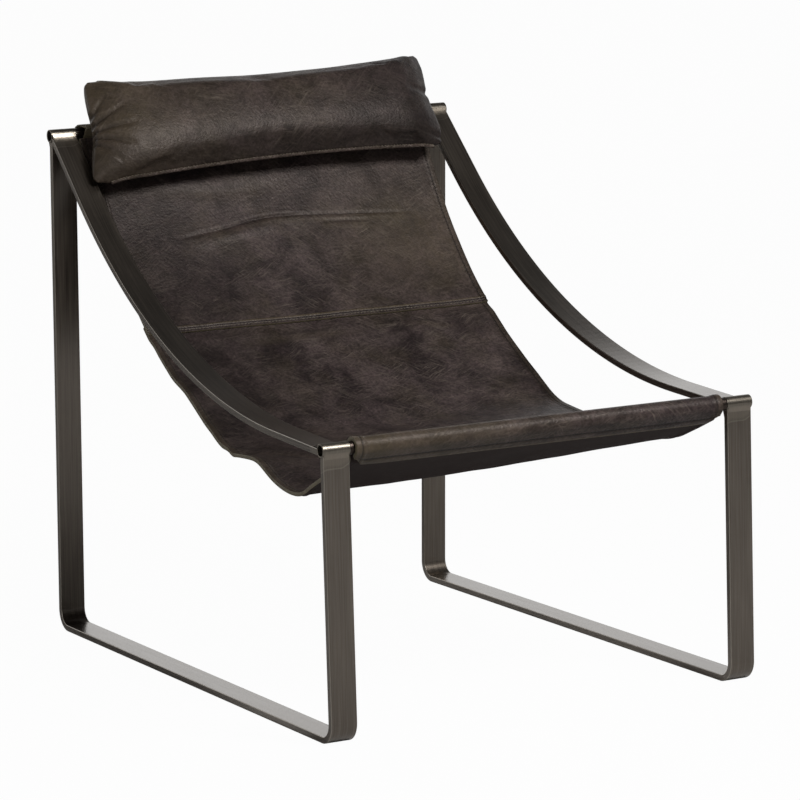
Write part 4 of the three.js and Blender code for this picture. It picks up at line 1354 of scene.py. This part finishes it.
def brushed_gunmetal():
    """Mild steel bar brushed lengthwise, darkened and lacquered: deep grey, with long fine streaks, pale
    edges that are partly rubbed wear and partly a painted highlight, and a paler ground patch at each weld.
    The clear lacquer gives it a pale sheen at a low angle."""
    material, tree, shader = start_material(
        "brushed_gunmetal_steel", Metallic=1.0, Coat_Weight=0.8, Coat_Roughness=0.22
    )
    lay = node(tree, "Attribute", attribute_name="lay")["Vector"]
    reach = node(tree, "Attribute", attribute_name="weld_reach")["Fac"]
    # Pale edges: partly rubbed wear, partly a painted highlight along the rounded edges
    edges = node(tree, "Attribute", attribute_name="wear")["Fac"]

    # Brush lines a hand long, in a fine and a broad set, coarser than real ones so that they show
    brushed = []
    for width_mm in (1.6, 4):
        lengths = [per_metre(size) for size in (130, width_mm, width_mm)]
        stretched = node(tree, "VectorMath", {0: lay, 1: lengths}, operation="MULTIPLY")["Vector"]
        streak = {"Vector": stretched, "Scale": 1.0, "Detail": 3.0, "Roughness": 0.6}
        brushed.append(node(tree, "TexNoise", streak)["Fac"])
    summed = node(tree, "Math", {0: brushed[0], 1: brushed[1]}, operation="ADD")[0]
    streaks = node(tree, "MapRange", {"Value": summed, "From Min": 0.7, "From Max": 1.3})["Result"]
    colour = node(tree, "Mix", {0: streaks, 6: linear("#665d53"), 7: linear("#82786d")}, data_type="RGBA")[2]

    # The patch that was ground after welding ends in an uneven, slanting pale line
    across = node(tree, "SeparateXYZ", {0: lay})["Y"]
    slanted = node(tree, "Math", {0: across, 1: 0.25, 2: reach}, operation="MULTIPLY_ADD")[0]
    wavy = node(tree, "TexNoise", {"Vector": lay, "Scale": per_metre(48), "Detail": 2.0})["Fac"]
    wave = node(tree, "Math", {0: wavy, 1: 20 * MM, 2: -10 * MM}, operation="MULTIPLY_ADD")[0]
    ragged = node(tree, "Math", {0: slanted, 1: wave}, operation="ADD")[0]
    patch_range = {"Value": ragged, "From Min": 12 * MM, "From Max": 18 * MM, "To Min": 0.6, "To Max": 0.0}
    patch = node(tree, "MapRange", patch_range)["Result"]
    past = node(tree, "Math", {0: ragged, 1: 17.5 * MM}, operation="SUBTRACT")[0]
    away = node(tree, "Math", {0: past}, operation="ABSOLUTE")[0]
    line_range = {"Value": away, "From Min": 0.2 * MM, "From Max": 1.4 * MM, "To Min": 0.3, "To Max": 0.0}
    line = node(tree, "MapRange", line_range)["Result"]
    for share, tint in ((patch, "#92887a"), (line, "#b5ad9d"), (edges, "#a0988d")):
        colour = node(tree, "Mix", {0: share, 6: colour, 7: linear(tint)}, data_type="RGBA")[2]
    tree.links.new(colour, shader["Base Color"])

    gloss = node(tree, "MapRange", {"Value": streaks, "To Min": 0.3, "To Max": 0.42})["Result"]
    tree.links.new(gloss, shader["Roughness"])
    bump = node(tree, "Bump", {"Height": brushed[0], "Strength": 0.12, "Distance": 0.3 * MM})
    tree.links.new(bump["Normal"], shader["Normal"])
    return material


def two_tone(name, dark, pale, spot_mm, detail, blend=0.5, gloss=None, relief=None, **sockets):
    """A material that goes between two colours in spots of this size along X, Y and Z. The gloss is
    its roughness in the dark and in the pale, and the relief a bump's strength and height."""
    material, tree, shader = start_material(name, **sockets)
    place = node(tree, "TexCoord")["Object"]
    scales = [per_metre(size) for size in spot_mm]
    stretched = node(tree, "VectorMath", {0: place, 1: scales}, operation="MULTIPLY")["Vector"]
    spots = {"Vector": stretched, "Scale": 1.0, "Detail": detail, "Roughness": blend}
    tone = node(tree, "TexNoise", spots)["Fac"]
    colour = node(tree, "Mix", {0: tone, 6: linear(dark), 7: linear(pale)}, data_type="RGBA")[2]
    tree.links.new(colour, shader["Base Color"])
    if gloss:
        rough = node(tree, "MapRange", {"Value": tone, "To Min": gloss[0], "To Max": gloss[1]})["Result"]
        tree.links.new(rough, shader["Roughness"])
    if relief:
        bump = node(tree, "Bump", {"Height": tone, "Strength": relief[0], "Distance": relief[1]})
        tree.links.new(bump["Normal"], shader["Normal"])
    return material


# Stage

FLOOR_SIZE = 60
FLOOR_WHITENESS = 0.975  # share of plain white in what the camera sees of the floor
BACKDROP_LIGHT = 1.0
ROOM_LIGHT = 0.06
WHITE = (1, 1, 1, 1)


def make_floor():
    """A pale floor that keeps a soft shadow."""
    bm = bmesh.new()
    bmesh.ops.create_grid(bm, x_segments=1, y_segments=1, size=FLOOR_SIZE / 2)
    mesh = bpy.data.meshes.new("studio_floor")
    bm.to_mesh(mesh)
    bm.free()
    material = bpy.data.materials.new("studio_floor_paint")
    tree = empty_tree(material)
    paint = node(tree, "BsdfDiffuse", {"Color": linear("#c2c2c2")})[0]
    white = node(tree, "Emission", {"Color": WHITE, "Strength": 1.0})[0]
    seen = node(tree, "LightPath")["Is Camera Ray"]
    share = node(tree, "Math", {0: seen, 1: FLOOR_WHITENESS}, operation="MULTIPLY")[0]
    both = node(tree, "MixShader", {0: share, 1: paint, 2: white})[0]
    node(tree, "OutputMaterial", {"Surface": both})
    mesh.materials.append(material)
    floor = bpy.data.objects.new("studio_floor", mesh)
    bpy.context.collection.objects.link(floor)


def make_world():
    """A dim studio with a bright low backdrop behind the chair. The camera sees plain white."""
    world = bpy.data.worlds.new("studio")
    bpy.context.scene.world = world
    tree = empty_tree(world)
    axes = node(tree, "SeparateXYZ", {0: node(tree, "TexCoord")["Generated"]})
    height = {"Value": axes["Z"], "From Min": 0.32, "From Max": 0.68, "To Min": 1.0, "To Max": 0.0}
    low = node(tree, "MapRange", height, interpolation_type="SMOOTHSTEP")["Result"]
    depth = {"Value": axes["Y"], "From Min": -0.3, "From Max": 0.5}
    behind = node(tree, "MapRange", depth, interpolation_type="SMOOTHSTEP")["Result"]
    backdrop = node(tree, "Math", {0: low, 1: behind}, operation="MULTIPLY")[0]
    light_range = {"Value": backdrop, "To Min": ROOM_LIGHT, "To Max": BACKDROP_LIGHT}
    light = node(tree, "MapRange", light_range)["Result"]
    walls = node(tree, "Background", {"Color": WHITE, "Strength": light})[0]
    white = node(tree, "Background", {"Color": WHITE, "Strength": 1.0})[0]
    seen = node(tree, "LightPath")["Is Camera Ray"]
    both = node(tree, "MixShader", {0: seen, 1: walls, 2: white})[0]
    node(tree, "OutputWorld", {"Surface": both})


def softbox(name, place, aim, size, watts):
    """A square lamp at a place, aimed at a point."""
    data = bpy.data.lights.new(name, "AREA")
    data.shape = "SQUARE"
    data.size = size
    data.energy = watts
    lamp = bpy.data.objects.new(name, data)
    lamp.location = place
    lamp.rotation_euler = (Vector(aim) - Vector(place)).to_track_quat("-Z", "Y").to_euler()
    bpy.context.collection.objects.link(lamp)


# The chair

gunmetal = brushed_gunmetal()
leather = waxed_leather()
# Turned steel, ground bright round its axis and lacquered over the same dark wash
bright_steel = two_tone(
    "ground_steel", "#6c655c", "#8f887d", (0.9, 40, 40), 3.0, 0.6,
    gloss=(0.3, 0.42), relief=(0.03, 0.2 * MM), Metallic=1.0,
)
# Zinc-plated fasteners: pale grey with a faint cloudy passivation
zinc = two_tone("zinc_plated_steel", "#77756f", "#a3a19a", (5, 5, 5), 3.0, gloss=(0.3, 0.5), Metallic=1.0)
# Rod stock left with its black mill oil finish: almost black, with a soft gloss
rod_steel = two_tone(
    "oil_blackened_steel", "#352e2b", "#554b45", (12, 12, 12), 4.0, gloss=(0.28, 0.45), Metallic=1.0
)
# Bonded polyester thread, with its twist too fine to show but for a slight mottle
pale_thread = two_tone("olive_waxed_thread", "#4f473a", "#7a7060", (3, 3, 3), 2.0, Roughness=0.6)
dark_thread = two_tone("brown_waxed_thread", "#0d0a08", "#211a16", (3, 3, 3), 2.0, Roughness=0.6)
# The cut edge of the hide, rubbed smooth: paler and more olive than its face
cut_edge = two_tone("burnished_leather_edge", "#484033", "#776d56", (9, 9, 9), 4.0, Roughness=0.55)
# The back of the hide: dark, dry and fibrous, with no gloss
flesh = two_tone(
    "leather_flesh_side", "#241d1c", "#3c322f", (6, 6, 6), 6.0, 0.7,
    relief=(0.3, 0.8 * MM), Roughness=0.9, Specular_IOR_Level=0.2,
)

for side, outward in SIDES:
    side_loop(side, gunmetal)
    arm(side, gunmetal)
    weld_beads(side, gunmetal)
    for end in ("front", "rear"):
        end_barrel(side, end, outward, bright_steel)
for end in ("front", "rear"):
    cross_rod(end, rod_steel)
for name, cad_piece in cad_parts.items():
    if name.endswith(("_bolt", "_washer", "_plug")):
        cad_piece.data.materials.clear()
        cad_piece.data.materials.append(zinc)
sling([leather, flesh, cut_edge], pale_thread, dark_thread)
head_pillow(leather, cut_edge, pale_thread)

make_floor()
make_world()
softbox("key_softbox", (0.75, -2.2, 2.45), (0, 0, 0.45), 0.8, 66)
softbox("fill_softbox", (-2.6, -2.2, 1.4), (0, 0, 0.4), 1.4, 18)
bpy.context.scene.view_settings.view_transform = "Standard"
